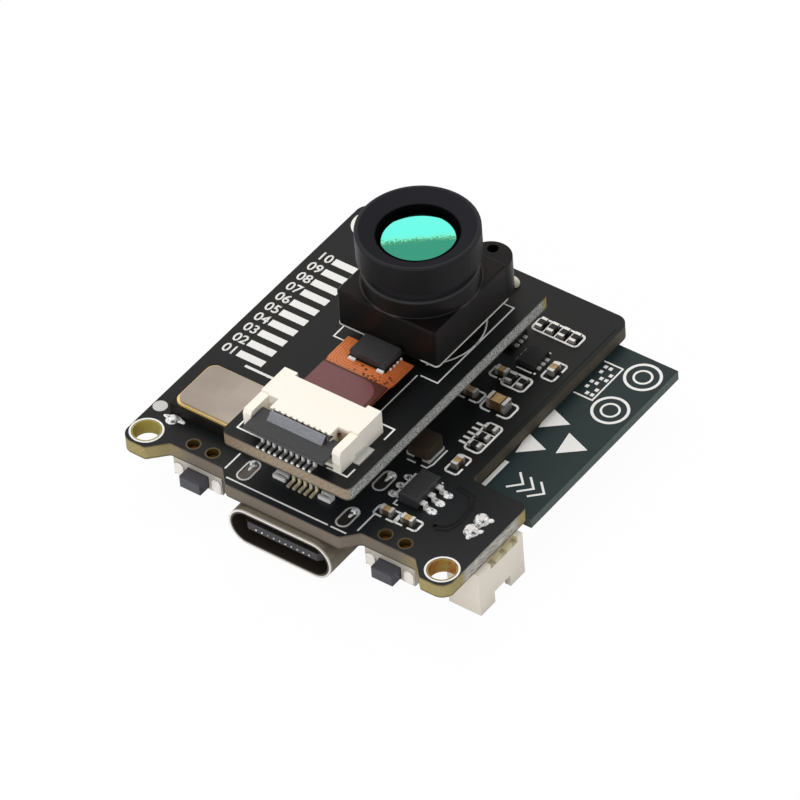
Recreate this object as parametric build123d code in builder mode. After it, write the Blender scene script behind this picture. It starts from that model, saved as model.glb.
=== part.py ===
from build123d import *
import os

os.makedirs("parts", exist_ok=True)

# Camera module on a small controller board. The origin lies midway between the two ear holes
# on the main board's top face. +X runs to the board's notched side, +Y from the socket end to
# the far end, +Z up along the lens axis.

LOW = (Align.CENTER, Align.CENTER, Align.MIN)
HIGH = (Align.CENTER, Align.CENTER, Align.MAX)

# Main board
board_thickness = 1.2
ear_hole_spacing = 25.8
ear_hole_radius = 1.0
ear_side_margin = 1.32
ear_front_margin = 1.46
ear_inner_reach = 0.9
ear_bevel = 1.3
ear_round = 1.0
recess_depth = 1.33
nose_width = 9.9
nose_length = 1.18
nose_bevel = 1.1
notch_depth = 4.87
tab_back = 8.35
board_back = 27.77
corner_round = 1.0
tab_round = 0.6
notch_fillet = 0.5

board_side = ear_hole_spacing / 2 + ear_side_margin
ear_front = -ear_front_margin
ear_inner = ear_hole_spacing / 2 - ear_inner_reach
recess_front = ear_front + recess_depth
nose_front = recess_front - nose_length
notch_side = board_side - notch_depth
board_under = -board_thickness

# Side switches
switch_spacing = 16.78
switch_width = 4.26
switch_depth = 2.4
switch_height = 1.6
switch_front_step = 0.02
cover_sheet = 0.15
plunger_width = 1.8
plunger_height = 1.0
plunger_reach = 1.05
plunger_flange = 0.3
plunger_stem = 1.1
button_travel = 0.25
peg_spacing = 1.7
peg_inset = 0.83
peg_radius = 0.38
peg_clearance = 0.07
peg_length = 0.65
slide_clearance = 0.05
cover_tab_width = 0.8
cover_tab_height = 1.15
cover_tab_step = 0.1
cover_tab_corner = 0.22
switch_foot_length = 0.5
switch_foot_width = 0.7
switch_foot_sheet = 0.15

switch_x = switch_spacing / 2
switch_front = recess_front - switch_front_step
switch_middle = board_under - switch_height / 2 - 0.15
peg_y = switch_front + peg_inset
peg_hole_radius = peg_radius + peg_clearance

# USB-C receptacle
usb_width = 8.94
usb_height = 3.16
usb_length = 7.35
usb_wall = 0.3
usb_overhang = 0.56
usb_board_gap = 0.05
usb_leg_sheet = 0.3
usb_leg_length = 1.2
usb_leg_spacing = 4.3
usb_front_leg = 2.5
usb_leg_tip = 0.08
leg_slot_width = 0.9
leg_slot_length = 1.9
solder_clearance = 0.02
tongue_width = 6.69
tongue_thickness = 0.7
tongue_setback = 0.32
tongue_length = 5.08
tongue_corner = 0.32
usb_contact_pitch = 0.5
usb_contact_count = 12
usb_contact_width = 0.25
usb_contact_thickness = 0.05
usb_contact_length = 3.2
usb_contact_setback = 0.12

usb_front = nose_front - usb_overhang
usb_middle = board_under - usb_board_gap - usb_height / 2
usb_leg_x = usb_width / 2 - usb_leg_sheet / 2
usb_leg_y = [usb_front + usb_front_leg, usb_front + usb_front_leg + usb_leg_spacing]
tongue_front = usb_front + tongue_setback
tongue_root = tongue_front + tongue_length

# Wire connector, hanging under the board's tab with its mouth down
wire_width = 2.76
wire_length = 5.2
wire_height = 3.83
wire_wall = 0.5
wire_depth = 2.9
wire_overhang = 0.44
wire_front = 1.73
wire_notch_length = 1.85
wire_notch_depth = 1.0
wire_gap_width = 0.6
wire_gap_depth = 0.45
wire_pin_pitch = 1.25
wire_pin_size = 0.5
wire_pin_length = 2.6
wire_pin_inset = 2.26
wire_pin_first = 2.4
wire_pin_rise = 0.35
pin_hole_clearance = 0.1

wire_outer = board_side + wire_overhang
wire_x = wire_outer - wire_width / 2
wire_y = wire_front + wire_length / 2
wire_pin_x = wire_outer - wire_pin_inset
wire_pins = [wire_front + wire_pin_first + i * wire_pin_pitch for i in range(2)]

# Camera board and the connector pair that carries it
camera_x = -0.1
board_gap = 3.0
camera_board_width = 11.1
camera_board_length = 23.85
camera_board_front = -0.5
camera_board_thickness = 1.1
camera_board_round = 0.5
pair_front = 1.6
pair_depth = 2.8
pair_length = 5.0
pair_socket_height = 2.0
pair_wall = 0.45
pair_floor = 0.4
pair_clearance = 0.08
pair_flange = 0.7
pair_pitch = 0.5
pair_count = 5
pair_lead_width = 0.22
pair_lead_sheet = 0.15
pair_lead_reach = 0.85
pair_lead_rise = 0.7
bracket_length = 1.05
bracket_depth = 0.6
bracket_height = 0.32
bracket_slot = 0.2
bracket_end = 0.2

camera_board_middle = camera_board_front + camera_board_length / 2
camera_board_top = board_gap + camera_board_thickness
pair_y = pair_front + pair_depth / 2

# Flat-flex connector on the camera board
flex_conn_width = 8.4
flex_conn_height = 2.0
flex_conn_front = 0.6
flex_conn_back = 5.53
flex_conn_roof_back = 0.33
arm_width = 0.7
arm_step = 0.15
arm_step_y = 2.8
arm_chamfer = 0.2
arm_notch = 0.16
arm_notch_height = 0.62
roof_front = 1.65
roof_side_width = 5.2
side_pocket_back = 2.65
conn_floor = 0.3
conn_floor_front = 0.75
conn_roof = 0.5
roof_undercut = 0.5
roof_lip = 0.05
hollow_back = 1.2
tooth_width = 0.2
tooth_depth = 0.12
flex_pitch = 0.5
flex_ways = 10
contact_width = 0.2
contact_sheet = 0.15
contact_tail_front = -0.5
contact_riser = 0.2
contact_bend = 0.3
contact_beam_margin = 1.9
latch_radius = 0.3
latch_side_gap = 0.06
latch_front = -0.42
latch_plate = 0.3
latch_bevel = 0.08
latch_back_reach = 0.35
latch_end_reach = 0.75
latch_end_gap = 0.08
latch_ridge_width = 4.84
latch_ridge_foot = 0.25
latch_ridge_top = 0.39
latch_ridge_height = 0.78
pivot_setback = 0.5
pivot_radius = 0.2
pivot_clearance = 0.03
pivot_length = 0.4
conn_tab_width = 0.6
conn_tab_length = 1.8
conn_tab_front = 1.9
conn_tab_sheet = 0.14
conn_tab_rise = 0.45

# Flex, its stiffener and what lies on it
flex_lift = 1.15
flex_thickness = 0.12
flex_width = 5.45
flex_wide = 5.7
flex_end = 2.65
flex_flare_y = 8.3
flex_wide_end = 5.1
flex_neck_margin = 0.05
flex_rim = 0.03
stiffener_thickness = 0.15
stiffener_back = 8.18
mouth_clearance = 0.06
chip_width = 3.05
chip_length = 2.0
chip_to_lens = 6.7
chip_height = 0.63
underfill_margin = 0.12
underfill_height = 0.1

flex_under = camera_board_top + flex_lift
flex_top = flex_under + flex_thickness
pivot_y = roof_front - pivot_setback
pivot_z = flex_under
contact_top = flex_under - 0.01

# Lens holder, barrel and optics
lens_y = 16.2
holder_size = 8.65
holder_height = 3.08
holder_wall = 0.6
holder_round = 0.3
collar_radius = 4.25
collar_height = 1.35
collar_edge = 0.15
ear_radius = 1.62
ear_hole = 0.42
ear_hole_x = -0.3
ear_hole_y = 0.8
holder_ear_x = 2.75
holder_ear_y = 4.4
holder_ear_drop = 0.1
thread_radius = 3.5
thread_clearance = 0.05
holder_roof = 1.0
filter_size = 6.2
filter_thickness = 0.3
filter_clearance = 0.1
filter_window = 2.6
barrel_neck_radius = 3.9
barrel_neck = 0.88
head_radius = 4.49
head_height = 2.47
head_rim = 0.3
head_edge = 0.12
bevel_radius = 2.9
bevel_depth = 0.6
lens_radius = 2.75
lens_clearance = 0.02
lens_recess = 0.95
lens_edge = 0.8
lens_sag = 0.35
barrel_bore = 2.3
inner_lens_thickness = 0.9
inner_lens_edge = 0.3
inner_lens_lift = 0.2
thread_length = 2.0
sensor_width = 6.4
sensor_length = 5.6
sensor_height = 0.8
pad_margin = 1.1

holder_top = flex_top + holder_height
collar_top = holder_top + collar_height
head_bottom = collar_top + barrel_neck
head_top = head_bottom + head_height
lens_seat = head_top - lens_recess - lens_edge
filter_seat = holder_top - holder_roof
barrel_bottom = collar_top - thread_length

# Oscillator
osc_width = 7.0
osc_length = 5.0
osc_x = -9.05
osc_y = 4.85
osc_base_height = 0.95
osc_ring_height = 0.2
osc_lid_height = 0.15
osc_ring_margin = 0.18
osc_lid_margin = 0.32
osc_round = 0.7

# Radio module under the main board
radio_width = 25.5
radio_length = 18.0
radio_thickness = 0.8
radio_overhang = 0.23
radio_front = 8.27
radio_antenna = 6.2
radio_pad_pitch = 1.27
radio_pad_count = 14
radio_pad_radius = 0.3
radio_pad_first = 1.5
shield_height = 2.3
shield_width = 17.6
shield_length = 15.8
shield_sheet = 0.2
shield_round = 0.6

radio_right = board_side + radio_overhang
radio_left = radio_right - radio_width
radio_y = radio_front + radio_length / 2
radio_under = board_under - radio_thickness
shield_x = radio_right - radio_antenna - shield_width / 2 - 0.6

# Small components on the main board: centre x, centre y, turn about Z
cap_size = (1.0, 0.5, 0.5)
cap_places = [(6.45, 2.43, 0), (8.2, 2.49, 0), (7.7, 9.05, 90), (7.85, 20.45, 90), (4.25, 15.4, 0),
              (4.9, 18.3, 0)]
big_cap_size = (1.6, 0.85, 0.85)
big_cap_places = [(6.7, 15.38, 0)]
res_size = (1.0, 0.5, 0.32)
res_pitch = 0.97
upright = 90
res_back_y = 23.95
res_places = [(4.3 + i * res_pitch, res_back_y, upright) for i in range(4)]
res_places += [(5.75 + i * res_pitch, 18.15, upright) for i in range(2)]
res_places += [(7.62, 11.2 + i * res_pitch, 0) for i in range(3)]
end_share = 0.25
end_skin = 0.02
reg_width = 1.6
reg_length = 2.9
reg_height = 0.95
reg_lift = 0.1
reg_x = 7.25
reg_y = 5.2
reg_pitch = 0.95
reg_lead_width = 0.4
reg_lead_sheet = 0.15
reg_lead_reach = 0.75
reg_lead_foot = 0.4
inductor_size = 2.0
inductor_height = 1.2
inductor_x = 5.0
inductor_y = 8.9
inductor_base = 0.3
flat_chip_width = 1.5
flat_chip_length = 1.9
flat_chip_height = 0.5
flat_chip_places = [(5.92, 20.6), (3.2, 21.7)]
flat_pad_pitch = 0.5
flat_pad_size = 0.28
flat_pad_sheet = 0.15
test_pad_radius = 0.55
test_pad_thickness = 0.03
bead_radius = 0.5
bead_x = -12.04
bead_height = 0.25
test_pad_side = 0.62
test_pad_y = 2.5


with BuildPart() as main_board:
    with BuildSketch(Plane.XY.offset(board_under)):
        with BuildLine():
            FilletPolyline(
                (-board_side, ear_front),
                (-ear_inner, ear_front),
                (-ear_inner + ear_bevel, recess_front),
                (-nose_width / 2 - nose_bevel, recess_front),
                (-nose_width / 2, nose_front),
                (nose_width / 2, nose_front),
                (nose_width / 2 + nose_bevel, recess_front),
                (ear_inner - ear_bevel, recess_front),
                (ear_inner, ear_front),
                (board_side, ear_front),
                (board_side, tab_back),
                (notch_side, tab_back),
                (notch_side, board_back),
                (-board_side, board_back),
                radius=[ear_round, 0.3, 0.4, 0.4, 0.5, 0.5, 0.4, 0.4, 0.3, ear_round,
                        tab_round, notch_fillet, corner_round, corner_round],
                close=True,
            )
        make_face()
        with GridLocations(ear_hole_spacing, 0, 2, 1):
            Circle(ear_hole_radius, mode=Mode.SUBTRACT)
        for side in (-1, 1):
            with Locations((side * switch_x, peg_y)):
                with GridLocations(peg_spacing, 0, 2, 1):
                    Circle(peg_hole_radius, mode=Mode.SUBTRACT)
            for leg_y in usb_leg_y:
                with Locations((side * usb_leg_x, leg_y)):
                    SlotOverall(leg_slot_length, leg_slot_width, rotation=90, mode=Mode.SUBTRACT)
        for pin_y in wire_pins:
            with Locations((wire_pin_x, pin_y)):
                RegularPolygon(wire_pin_size * 0.71 + pin_hole_clearance, 12, mode=Mode.SUBTRACT)
    extrude(amount=board_thickness)
main_board.part.label = "main_board"
export_step(main_board.part, "parts/main_board.step")


# Radio module: its board lies flat under the main board and its antenna end fills the notch
with BuildPart() as radio_board:
    with BuildSketch(Plane.XY.offset(radio_under)):
        with Locations(((radio_left + radio_right) / 2, radio_y)):
            Rectangle(radio_width, radio_length)
        for i in range(radio_pad_count):
            for side in (-1, 1):
                with Locations((radio_left + radio_pad_first + i * radio_pad_pitch,
                                radio_y + side * radio_length / 2)):
                    RegularPolygon(radio_pad_radius, 8, rotation=22.5, mode=Mode.SUBTRACT)
    extrude(amount=radio_thickness)
radio_board.part.label = "radio_board"
export_step(radio_board.part, "parts/radio_board.step")

with BuildPart() as radio_shield:
    with BuildSketch(Plane.XY.offset(radio_under)):
        with Locations((shield_x, radio_y)):
            RectangleRounded(shield_width, shield_length, shield_round)
    extrude(amount=-shield_height)
    chamfer(radio_shield.faces().sort_by(Axis.Z)[0].edges(), length=shield_sheet)
    with BuildSketch(Plane.XY.offset(radio_under)):
        with Locations((shield_x, radio_y)):
            Rectangle(shield_width - 2 * shield_sheet, shield_length - 2 * shield_sheet)
    extrude(amount=-(shield_height - shield_sheet), mode=Mode.SUBTRACT)
radio_shield.part.label = "radio_shield"
export_step(radio_shield.part, "parts/radio_shield.step")


# Connector pair between the boards
with BuildPart() as pair_socket:
    with Locations((0, pair_y, 0)):
        Box(pair_length, pair_depth, pair_socket_height, align=LOW)
    with Locations((0, pair_y, pair_floor)):
        Box(pair_length - 2 * pair_wall, pair_depth - 2 * pair_wall, pair_socket_height, align=LOW,
            mode=Mode.SUBTRACT)
pair_socket.part.label = "pair_socket"
export_step(pair_socket.part, "parts/pair_socket.step")

with BuildPart() as pair_plug:
    with Locations((0, pair_y, board_gap)):
        Box(pair_length, pair_depth, pair_flange, align=HIGH)
        Box(pair_length - 2 * (pair_wall + pair_clearance), pair_depth - 2 * (pair_wall + pair_clearance),
            board_gap - pair_floor - pair_clearance, align=HIGH)
pair_plug.part.label = "pair_plug"
export_step(pair_plug.part, "parts/pair_plug.step")

with BuildPart() as pair_socket_contacts:
    for side in (-1, 1):
        with Locations((0, pair_y + side * (pair_depth / 2 + pair_lead_reach / 2), 0)):
            with GridLocations(pair_pitch, 0, pair_count, 1):
                Box(pair_lead_width, pair_lead_reach, pair_lead_sheet, align=LOW)
        with Locations((0, pair_y + side * (pair_depth / 2 + pair_lead_sheet / 2), 0)):
            with GridLocations(pair_pitch, 0, pair_count, 1):
                Box(pair_lead_width, pair_lead_sheet, pair_lead_rise, align=LOW)
pair_socket_contacts.part.label = "pair_socket_contacts"
export_step(pair_socket_contacts.part, "parts/pair_socket_contacts.step")

with BuildPart() as pair_plug_contacts:
    for side in (-1, 1):
        with Locations((0, pair_y + side * (pair_depth / 2 + pair_lead_reach / 2), board_gap)):
            with GridLocations(pair_pitch, 0, pair_count, 1):
                Box(pair_lead_width, pair_lead_reach, pair_lead_sheet, align=HIGH)
        with Locations((0, pair_y + side * (pair_depth / 2 + pair_lead_sheet / 2), board_gap)):
            with GridLocations(pair_pitch, 0, pair_count, 1):
                Box(pair_lead_width, pair_lead_sheet, pair_flange, align=HIGH)
pair_plug_contacts.part.label = "pair_plug_contacts"
export_step(pair_plug_contacts.part, "parts/pair_plug_contacts.step")

with BuildPart() as pair_brackets:
    for side in (-1, 1):
        with Locations((0, pair_y + side * (pair_depth + bracket_depth) / 2, 0)):
            with GridLocations(pair_length - bracket_length, 0, 2, 1):
                Box(bracket_length, bracket_depth, bracket_height, align=LOW)
            # a slot from the contacts' side makes each of them a flat staple
            Box(pair_length - 2 * bracket_end, bracket_slot, bracket_height, align=LOW, mode=Mode.SUBTRACT)
pair_brackets.part.label = "pair_brackets"
export_step(pair_brackets.part, "parts/pair_brackets.step")


# Camera board
with BuildPart() as camera_board:
    with BuildSketch(Plane.XY.offset(board_gap)):
        with Locations((0, camera_board_middle)):
            RectangleRounded(camera_board_width, camera_board_length, camera_board_round)
    extrude(amount=camera_board_thickness)
camera_board.part.label = "camera_board"
export_step(camera_board.part, "parts/camera_board.step")


# Flat-flex connector: a moulded housing whose two arms carry the flip latch
with BuildPart() as flex_conn_housing:
    with BuildSketch(Plane.XY.offset(camera_board_top)):
        with BuildLine():
            half = flex_conn_width / 2
            Polyline(
                (camera_x - half, flex_conn_front),
                (camera_x - half, flex_conn_back),
                (camera_x - flex_wide / 2 - 0.2, flex_conn_back),
                (camera_x - flex_wide / 2 - 0.2, flex_conn_back - flex_conn_roof_back),
                (camera_x + flex_wide / 2 + 0.2, flex_conn_back - flex_conn_roof_back),
                (camera_x + flex_wide / 2 + 0.2, flex_conn_back),
                (camera_x + half, flex_conn_back),
                (camera_x + half, flex_conn_front),
                (camera_x + half - arm_width, flex_conn_front),
                (camera_x + half - arm_width, side_pocket_back),
                (camera_x + roof_side_width / 2, side_pocket_back),
                (camera_x + roof_side_width / 2, roof_front),
                (camera_x - roof_side_width / 2, roof_front),
                (camera_x - roof_side_width / 2, side_pocket_back),
                (camera_x - half + arm_width, side_pocket_back),
                (camera_x - half + arm_width, flex_conn_front),
                close=True,
            )
        make_face()
    extrude(amount=flex_conn_height)
    # floor under the latch and the pockets beside the roof
    with Locations((camera_x, (conn_floor_front + side_pocket_back) / 2, camera_board_top)):
        Box(flex_conn_width - 2 * arm_width, side_pocket_back - conn_floor_front, conn_floor, align=LOW)
    for side in (-1, 1):
        with Locations((camera_x + side * (flex_conn_width - arm_width) / 2, flex_conn_front,
                        camera_board_top + arm_notch_height)):
            Box(arm_width + 0.02, arm_notch, arm_notch, mode=Mode.SUBTRACT)
        # lower step and sloped front of each arm
        with BuildSketch(Plane.YZ.offset(camera_x + side * (flex_conn_width - arm_width) / 2)):
            with BuildLine():
                arm_top = camera_board_top + flex_conn_height
                Polyline(
                    (flex_conn_front - 0.1, arm_top + 0.1),
                    (arm_step_y, arm_top + 0.1),
                    (arm_step_y, arm_top - arm_step),
                    (flex_conn_front + arm_chamfer, arm_top - arm_step),
                    (flex_conn_front - 0.1, arm_top - arm_step - 1.6 * arm_chamfer - 0.1),
                    close=True,
                )
            make_face()
        extrude(amount=arm_width / 2 + 0.01, both=True, mode=Mode.SUBTRACT)
    # mouth for the flex and the hollow that holds the contacts
    flex_stack = flex_thickness + stiffener_thickness
    with Locations((camera_x, flex_end - 0.2, flex_under - mouth_clearance)):
        Box(flex_width + 2 * mouth_clearance, flex_conn_back, flex_stack + 2 * mouth_clearance,
            align=(Align.CENTER, Align.MIN, Align.MIN), mode=Mode.SUBTRACT)
    with Locations((camera_x, roof_front - 0.01, camera_board_top + conn_floor)):
        Box(flex_pitch * flex_ways + 0.1, flex_conn_back - hollow_back - roof_front,
            flex_conn_height - conn_floor - conn_roof,
            align=(Align.CENTER, Align.MIN, Align.MIN), mode=Mode.SUBTRACT)
    # roof cut back under its front edge, where the latch's ridge turns
    with BuildSketch(Plane.YZ.offset(camera_x)):
        with BuildLine():
            lip_under = camera_board_top + flex_conn_height - roof_lip
            roof_under = camera_board_top + flex_conn_height - conn_roof
            Polyline(
                (roof_front - 0.01, lip_under),
                (roof_front, lip_under),
                (roof_front + roof_undercut, roof_under),
                (roof_front - 0.01, roof_under),
                close=True,
            )
        make_face()
    extrude(amount=roof_side_width / 2 + 0.01, both=True, mode=Mode.SUBTRACT)
    # row of notches along the roof's front edge
    with Locations((camera_x, roof_front + tooth_depth / 2, camera_board_top + flex_conn_height)):
        with GridLocations(flex_pitch, 0, flex_ways, 1):
            Box(tooth_width, tooth_depth, 2 * conn_roof, mode=Mode.SUBTRACT)
    # pivot holes in the arms
    with BuildSketch(Plane.YZ.offset(camera_x)):
        with Locations((pivot_y, pivot_z)):
            Circle(pivot_radius + pivot_clearance)
    extrude(amount=flex_conn_width / 2 - arm_width + pivot_length, both=True, mode=Mode.SUBTRACT)
flex_conn_housing.part.label = "flex_conn_housing"
export_step(flex_conn_housing.part, "parts/flex_conn_housing.step")

# Latch: a flat plate with a sloped ridge before the roof and two ends beside it, on two pivots
with BuildPart() as flex_conn_latch:
    latch_half = flex_conn_width / 2 - arm_width - latch_side_gap
    plate_top = pivot_z + latch_radius
    with BuildSketch(Plane.YZ.offset(camera_x)):
        with Locations((pivot_y, pivot_z)):
            Circle(latch_radius)
        with BuildLine():
            Polyline(
                (pivot_y + latch_back_reach, plate_top),
                (latch_front + latch_bevel, plate_top),
                (latch_front, plate_top - latch_bevel),
                (latch_front, plate_top - latch_plate),
                (pivot_y - latch_radius, plate_top - latch_plate),
                (pivot_y + latch_back_reach, plate_top - latch_plate),
                close=True,
            )
        make_face()
    extrude(amount=latch_half, both=True)
    with BuildSketch(Plane.YZ.offset(camera_x)):
        with BuildLine():
            Polyline(
                (pivot_y - latch_ridge_foot, plate_top - 0.02),
                (pivot_y + latch_ridge_top - 0.12, pivot_z + latch_ridge_height),
                (pivot_y + latch_ridge_top, pivot_z + latch_ridge_height),
                (pivot_y + latch_ridge_top, pivot_z),
                (pivot_y, pivot_z),
                close=True,
            )
        make_face()
    extrude(amount=latch_ridge_width / 2, both=True)
    latch_end_inner = roof_side_width / 2 + latch_end_gap
    for side in (-1, 1):
        with Locations((camera_x + side * (latch_end_inner + latch_half) / 2, pivot_y, plate_top)):
            Box(latch_half - latch_end_inner, latch_end_reach, latch_plate,
                align=(Align.CENTER, Align.MIN, Align.MAX))
    with BuildSketch(Plane.YZ.offset(camera_x)):
        with Locations((pivot_y, pivot_z)):
            Circle(pivot_radius)
    extrude(amount=flex_conn_width / 2 - arm_width + pivot_length - 0.05, both=True)
flex_conn_latch.part.label = "flex_conn_latch"
export_step(flex_conn_latch.part, "parts/flex_conn_latch.step")

with BuildPart() as flex_conn_contacts:
    beam_under = camera_board_top + conn_floor + 0.02
    beam_back = flex_conn_back - contact_beam_margin
    for i in range(flex_ways):
        way_x = camera_x + (i - (flex_ways - 1) / 2) * flex_pitch
        with BuildSketch(Plane.YZ.offset(way_x)):
            with BuildLine():
                Polyline(
                    (contact_tail_front, camera_board_top),
                    (contact_bend, camera_board_top),
                    (contact_bend, beam_under),
                    (roof_front + 0.35, beam_under),
                    (beam_back, contact_top - contact_sheet),
                    (beam_back, contact_top),
                    (beam_back - 0.2, contact_top),
                    (roof_front + 0.25, beam_under + contact_sheet),
                    (contact_bend - contact_riser, beam_under + contact_sheet),
                    (contact_bend - contact_riser, camera_board_top + contact_sheet),
                    (contact_tail_front, camera_board_top + contact_sheet),
                    close=True,
                )
            make_face()
        extrude(amount=contact_width / 2, both=True)
flex_conn_contacts.part.label = "flex_conn_contacts"
export_step(flex_conn_contacts.part, "parts/flex_conn_contacts.step")

with BuildPart() as flex_conn_tabs:
    tab_y = conn_tab_front + conn_tab_length / 2
    for side in (-1, 1):
        with Locations((camera_x + side * (flex_conn_width + conn_tab_width) / 2, tab_y, camera_board_top)):
            Box(conn_tab_width, conn_tab_length, conn_tab_sheet, align=LOW)
        with Locations((camera_x + side * (flex_conn_width + conn_tab_sheet) / 2, tab_y, camera_board_top)):
            Box(conn_tab_sheet, conn_tab_length * 0.6, conn_tab_rise, align=LOW)
flex_conn_tabs.part.label = "flex_conn_tabs"
export_step(flex_conn_tabs.part, "parts/flex_conn_tabs.step")


# Flex: from the connector's mouth, past the chip, to the sensor under the holder
with BuildPart() as holder_pad:
    with Locations((camera_x, lens_y, camera_board_top)):
        Box(holder_size - 2 * pad_margin, holder_size - 2 * pad_margin, flex_lift, align=LOW)
holder_pad.part.label = "holder_pad"
export_step(holder_pad.part, "parts/holder_pad.step")

with BuildPart() as camera_flex:
    with BuildSketch(Plane.XY.offset(flex_under)):
        with BuildLine():
            wide_end = lens_y - flex_wide_end
            neck = chip_width / 2 + flex_neck_margin
            Polyline(
                (camera_x - flex_width / 2, flex_end),
                (camera_x - flex_width / 2, flex_flare_y),
                (camera_x - flex_wide / 2, flex_flare_y + 0.4),
                (camera_x - flex_wide / 2, wide_end),
                (camera_x - neck, wide_end),
                (camera_x - neck, lens_y),
                (camera_x + neck, lens_y),
                (camera_x + neck, wide_end),
                (camera_x + flex_wide / 2, wide_end),
                (camera_x + flex_wide / 2, flex_flare_y + 0.4),
                (camera_x + flex_width / 2, flex_flare_y),
                (camera_x + flex_width / 2, flex_end),
                close=True,
            )
        make_face()
        with Locations((camera_x, lens_y)):
            RectangleRounded(holder_size + 2 * flex_rim, holder_size + 2 * flex_rim, holder_round)
    extrude(amount=flex_thickness)
camera_flex.part.label = "camera_flex"
export_step(camera_flex.part, "parts/camera_flex.step")

with BuildPart() as flex_stiffener:
    with Locations((camera_x, (flex_end + stiffener_back) / 2, flex_top)):
        Box(flex_width, stiffener_back - flex_end, stiffener_thickness, align=LOW)
flex_stiffener.part.label = "flex_stiffener"
export_step(flex_stiffener.part, "parts/flex_stiffener.step")

chip_y = lens_y - chip_to_lens + chip_length / 2
with BuildPart() as flex_underfill:
    with BuildSketch(Plane.XY.offset(flex_top)):
        with Locations((camera_x, chip_y)):
            Rectangle(chip_width + 2 * underfill_margin, chip_length + 2 * underfill_margin)
            Rectangle(chip_width, chip_length, mode=Mode.SUBTRACT)
    extrude(amount=underfill_height)
flex_underfill.part.label = "flex_underfill"
export_step(flex_underfill.part, "parts/flex_underfill.step")

with BuildPart() as flex_chip:
    with Locations((camera_x, chip_y, flex_top)):
        Box(chip_width, chip_length, chip_height, align=LOW)
flex_chip.part.label = "flex_chip"
export_step(flex_chip.part, "parts/flex_chip.step")

with BuildPart() as image_sensor:
    with Locations((camera_x, lens_y, flex_top)):
        Box(sensor_width, sensor_length, sensor_height, align=LOW)
image_sensor.part.label = "image_sensor"
export_step(image_sensor.part, "parts/image_sensor.step")


# Lens holder: square base with a screw ear, round collar, bore for the barrel's thread
with BuildPart() as lens_holder:
    with BuildSketch(Plane.XY.offset(flex_top)):
        with Locations((camera_x, lens_y)):
            RectangleRounded(holder_size, holder_size, holder_round)
    extrude(amount=holder_height)
    chamfer(lens_holder.faces().sort_by(Axis.Z)[-1].edges(), length=0.12)
    with BuildSketch(Plane.XY.offset(flex_top)):
        with Locations((camera_x + holder_ear_x, lens_y + holder_ear_y)):
            Circle(ear_radius)
    extrude(amount=holder_height - holder_ear_drop)
    with BuildSketch(Plane.XY.offset(flex_top)):
        with Locations((camera_x, lens_y)):
            Circle(collar_radius)
    extrude(amount=holder_height + collar_height)
    chamfer(lens_holder.faces().sort_by(Axis.Z)[-1].edges(), length=collar_edge)
    # sensor chamber, filter seat, light window and barrel bore
    with Locations((camera_x, lens_y, flex_top)):
        Box(holder_size - 2 * holder_wall, holder_size - 2 * holder_wall,
            filter_seat - filter_thickness - flex_top, align=LOW, mode=Mode.SUBTRACT)
    with Locations((camera_x, lens_y, filter_seat - filter_thickness)):
        Box(filter_size + filter_clearance, filter_size + filter_clearance, filter_thickness, align=LOW,
            mode=Mode.SUBTRACT)
    with BuildSketch(Plane.XY.offset(filter_seat)):
        with Locations((camera_x, lens_y)):
            Circle(filter_window)
    extrude(amount=holder_height + collar_height, mode=Mode.SUBTRACT)
    with BuildSketch(Plane.XY.offset(barrel_bottom - thread_clearance)):
        with Locations((camera_x, lens_y)):
            Circle(thread_radius + thread_clearance)
    extrude(amount=thread_length + 1, mode=Mode.SUBTRACT)
    with BuildSketch(Plane.XY.offset(flex_top + holder_height - holder_ear_drop)):
        with Locations((camera_x + holder_ear_x + ear_hole_x, lens_y + holder_ear_y + ear_hole_y)):
            Circle(ear_hole)
    extrude(amount=-1.2, mode=Mode.SUBTRACT)
lens_holder.part.label = "lens_holder"
export_step(lens_holder.part, "parts/lens_holder.step")

with BuildPart() as ir_filter:
    with Locations((camera_x, lens_y, filter_seat)):
        Box(filter_size, filter_size, filter_thickness, align=HIGH)
ir_filter.part.label = "ir_filter"
export_step(ir_filter.part, "parts/ir_filter.step")

lens_plane = Plane(origin=(camera_x, lens_y, 0), x_dir=(1, 0, 0), z_dir=(0, -1, 0))
lens_axis = Axis((camera_x, lens_y, 0), (0, 0, 1))
with BuildPart() as lens_barrel:
    with BuildSketch(lens_plane):
        with BuildLine():
            Polyline(
                (barrel_bore, barrel_bottom),
                (thread_radius, barrel_bottom),
                (thread_radius, collar_top),
                (barrel_neck_radius, collar_top),
                (barrel_neck_radius, head_bottom),
                (head_radius - head_edge, head_bottom),
                (head_radius, head_bottom + head_edge),
                (head_radius, head_top - head_edge),
                (head_radius - head_edge, head_top),
                (head_radius - head_rim, head_top),
                (bevel_radius, head_top - bevel_depth),
                (lens_radius + lens_clearance, head_top - bevel_depth - 0.05),
                (lens_radius + lens_clearance, lens_seat),
                (barrel_bore, lens_seat),
                close=True,
            )
        make_face()
    revolve(axis=lens_axis)
lens_barrel.part.label = "lens_barrel"
export_step(lens_barrel.part, "parts/lens_barrel.step")

with BuildPart() as front_lens:
    with BuildSketch(lens_plane):
        with BuildLine():
            edge_top = lens_seat + lens_edge
            Polyline((0, edge_top + lens_sag), (0, lens_seat), (lens_radius, lens_seat),
                     (lens_radius, edge_top))
            dome = (lens_radius**2 + lens_sag**2) / (2 * lens_sag)
            dome_middle = edge_top + lens_sag - dome + (dome**2 - lens_radius**2 / 4) ** 0.5
            ThreePointArc((lens_radius, edge_top), (lens_radius / 2, dome_middle), (0, edge_top + lens_sag))
        make_face()
    revolve(axis=lens_axis)
front_lens.part.label = "front_lens"
export_step(front_lens.part, "parts/front_lens.step")

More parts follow.
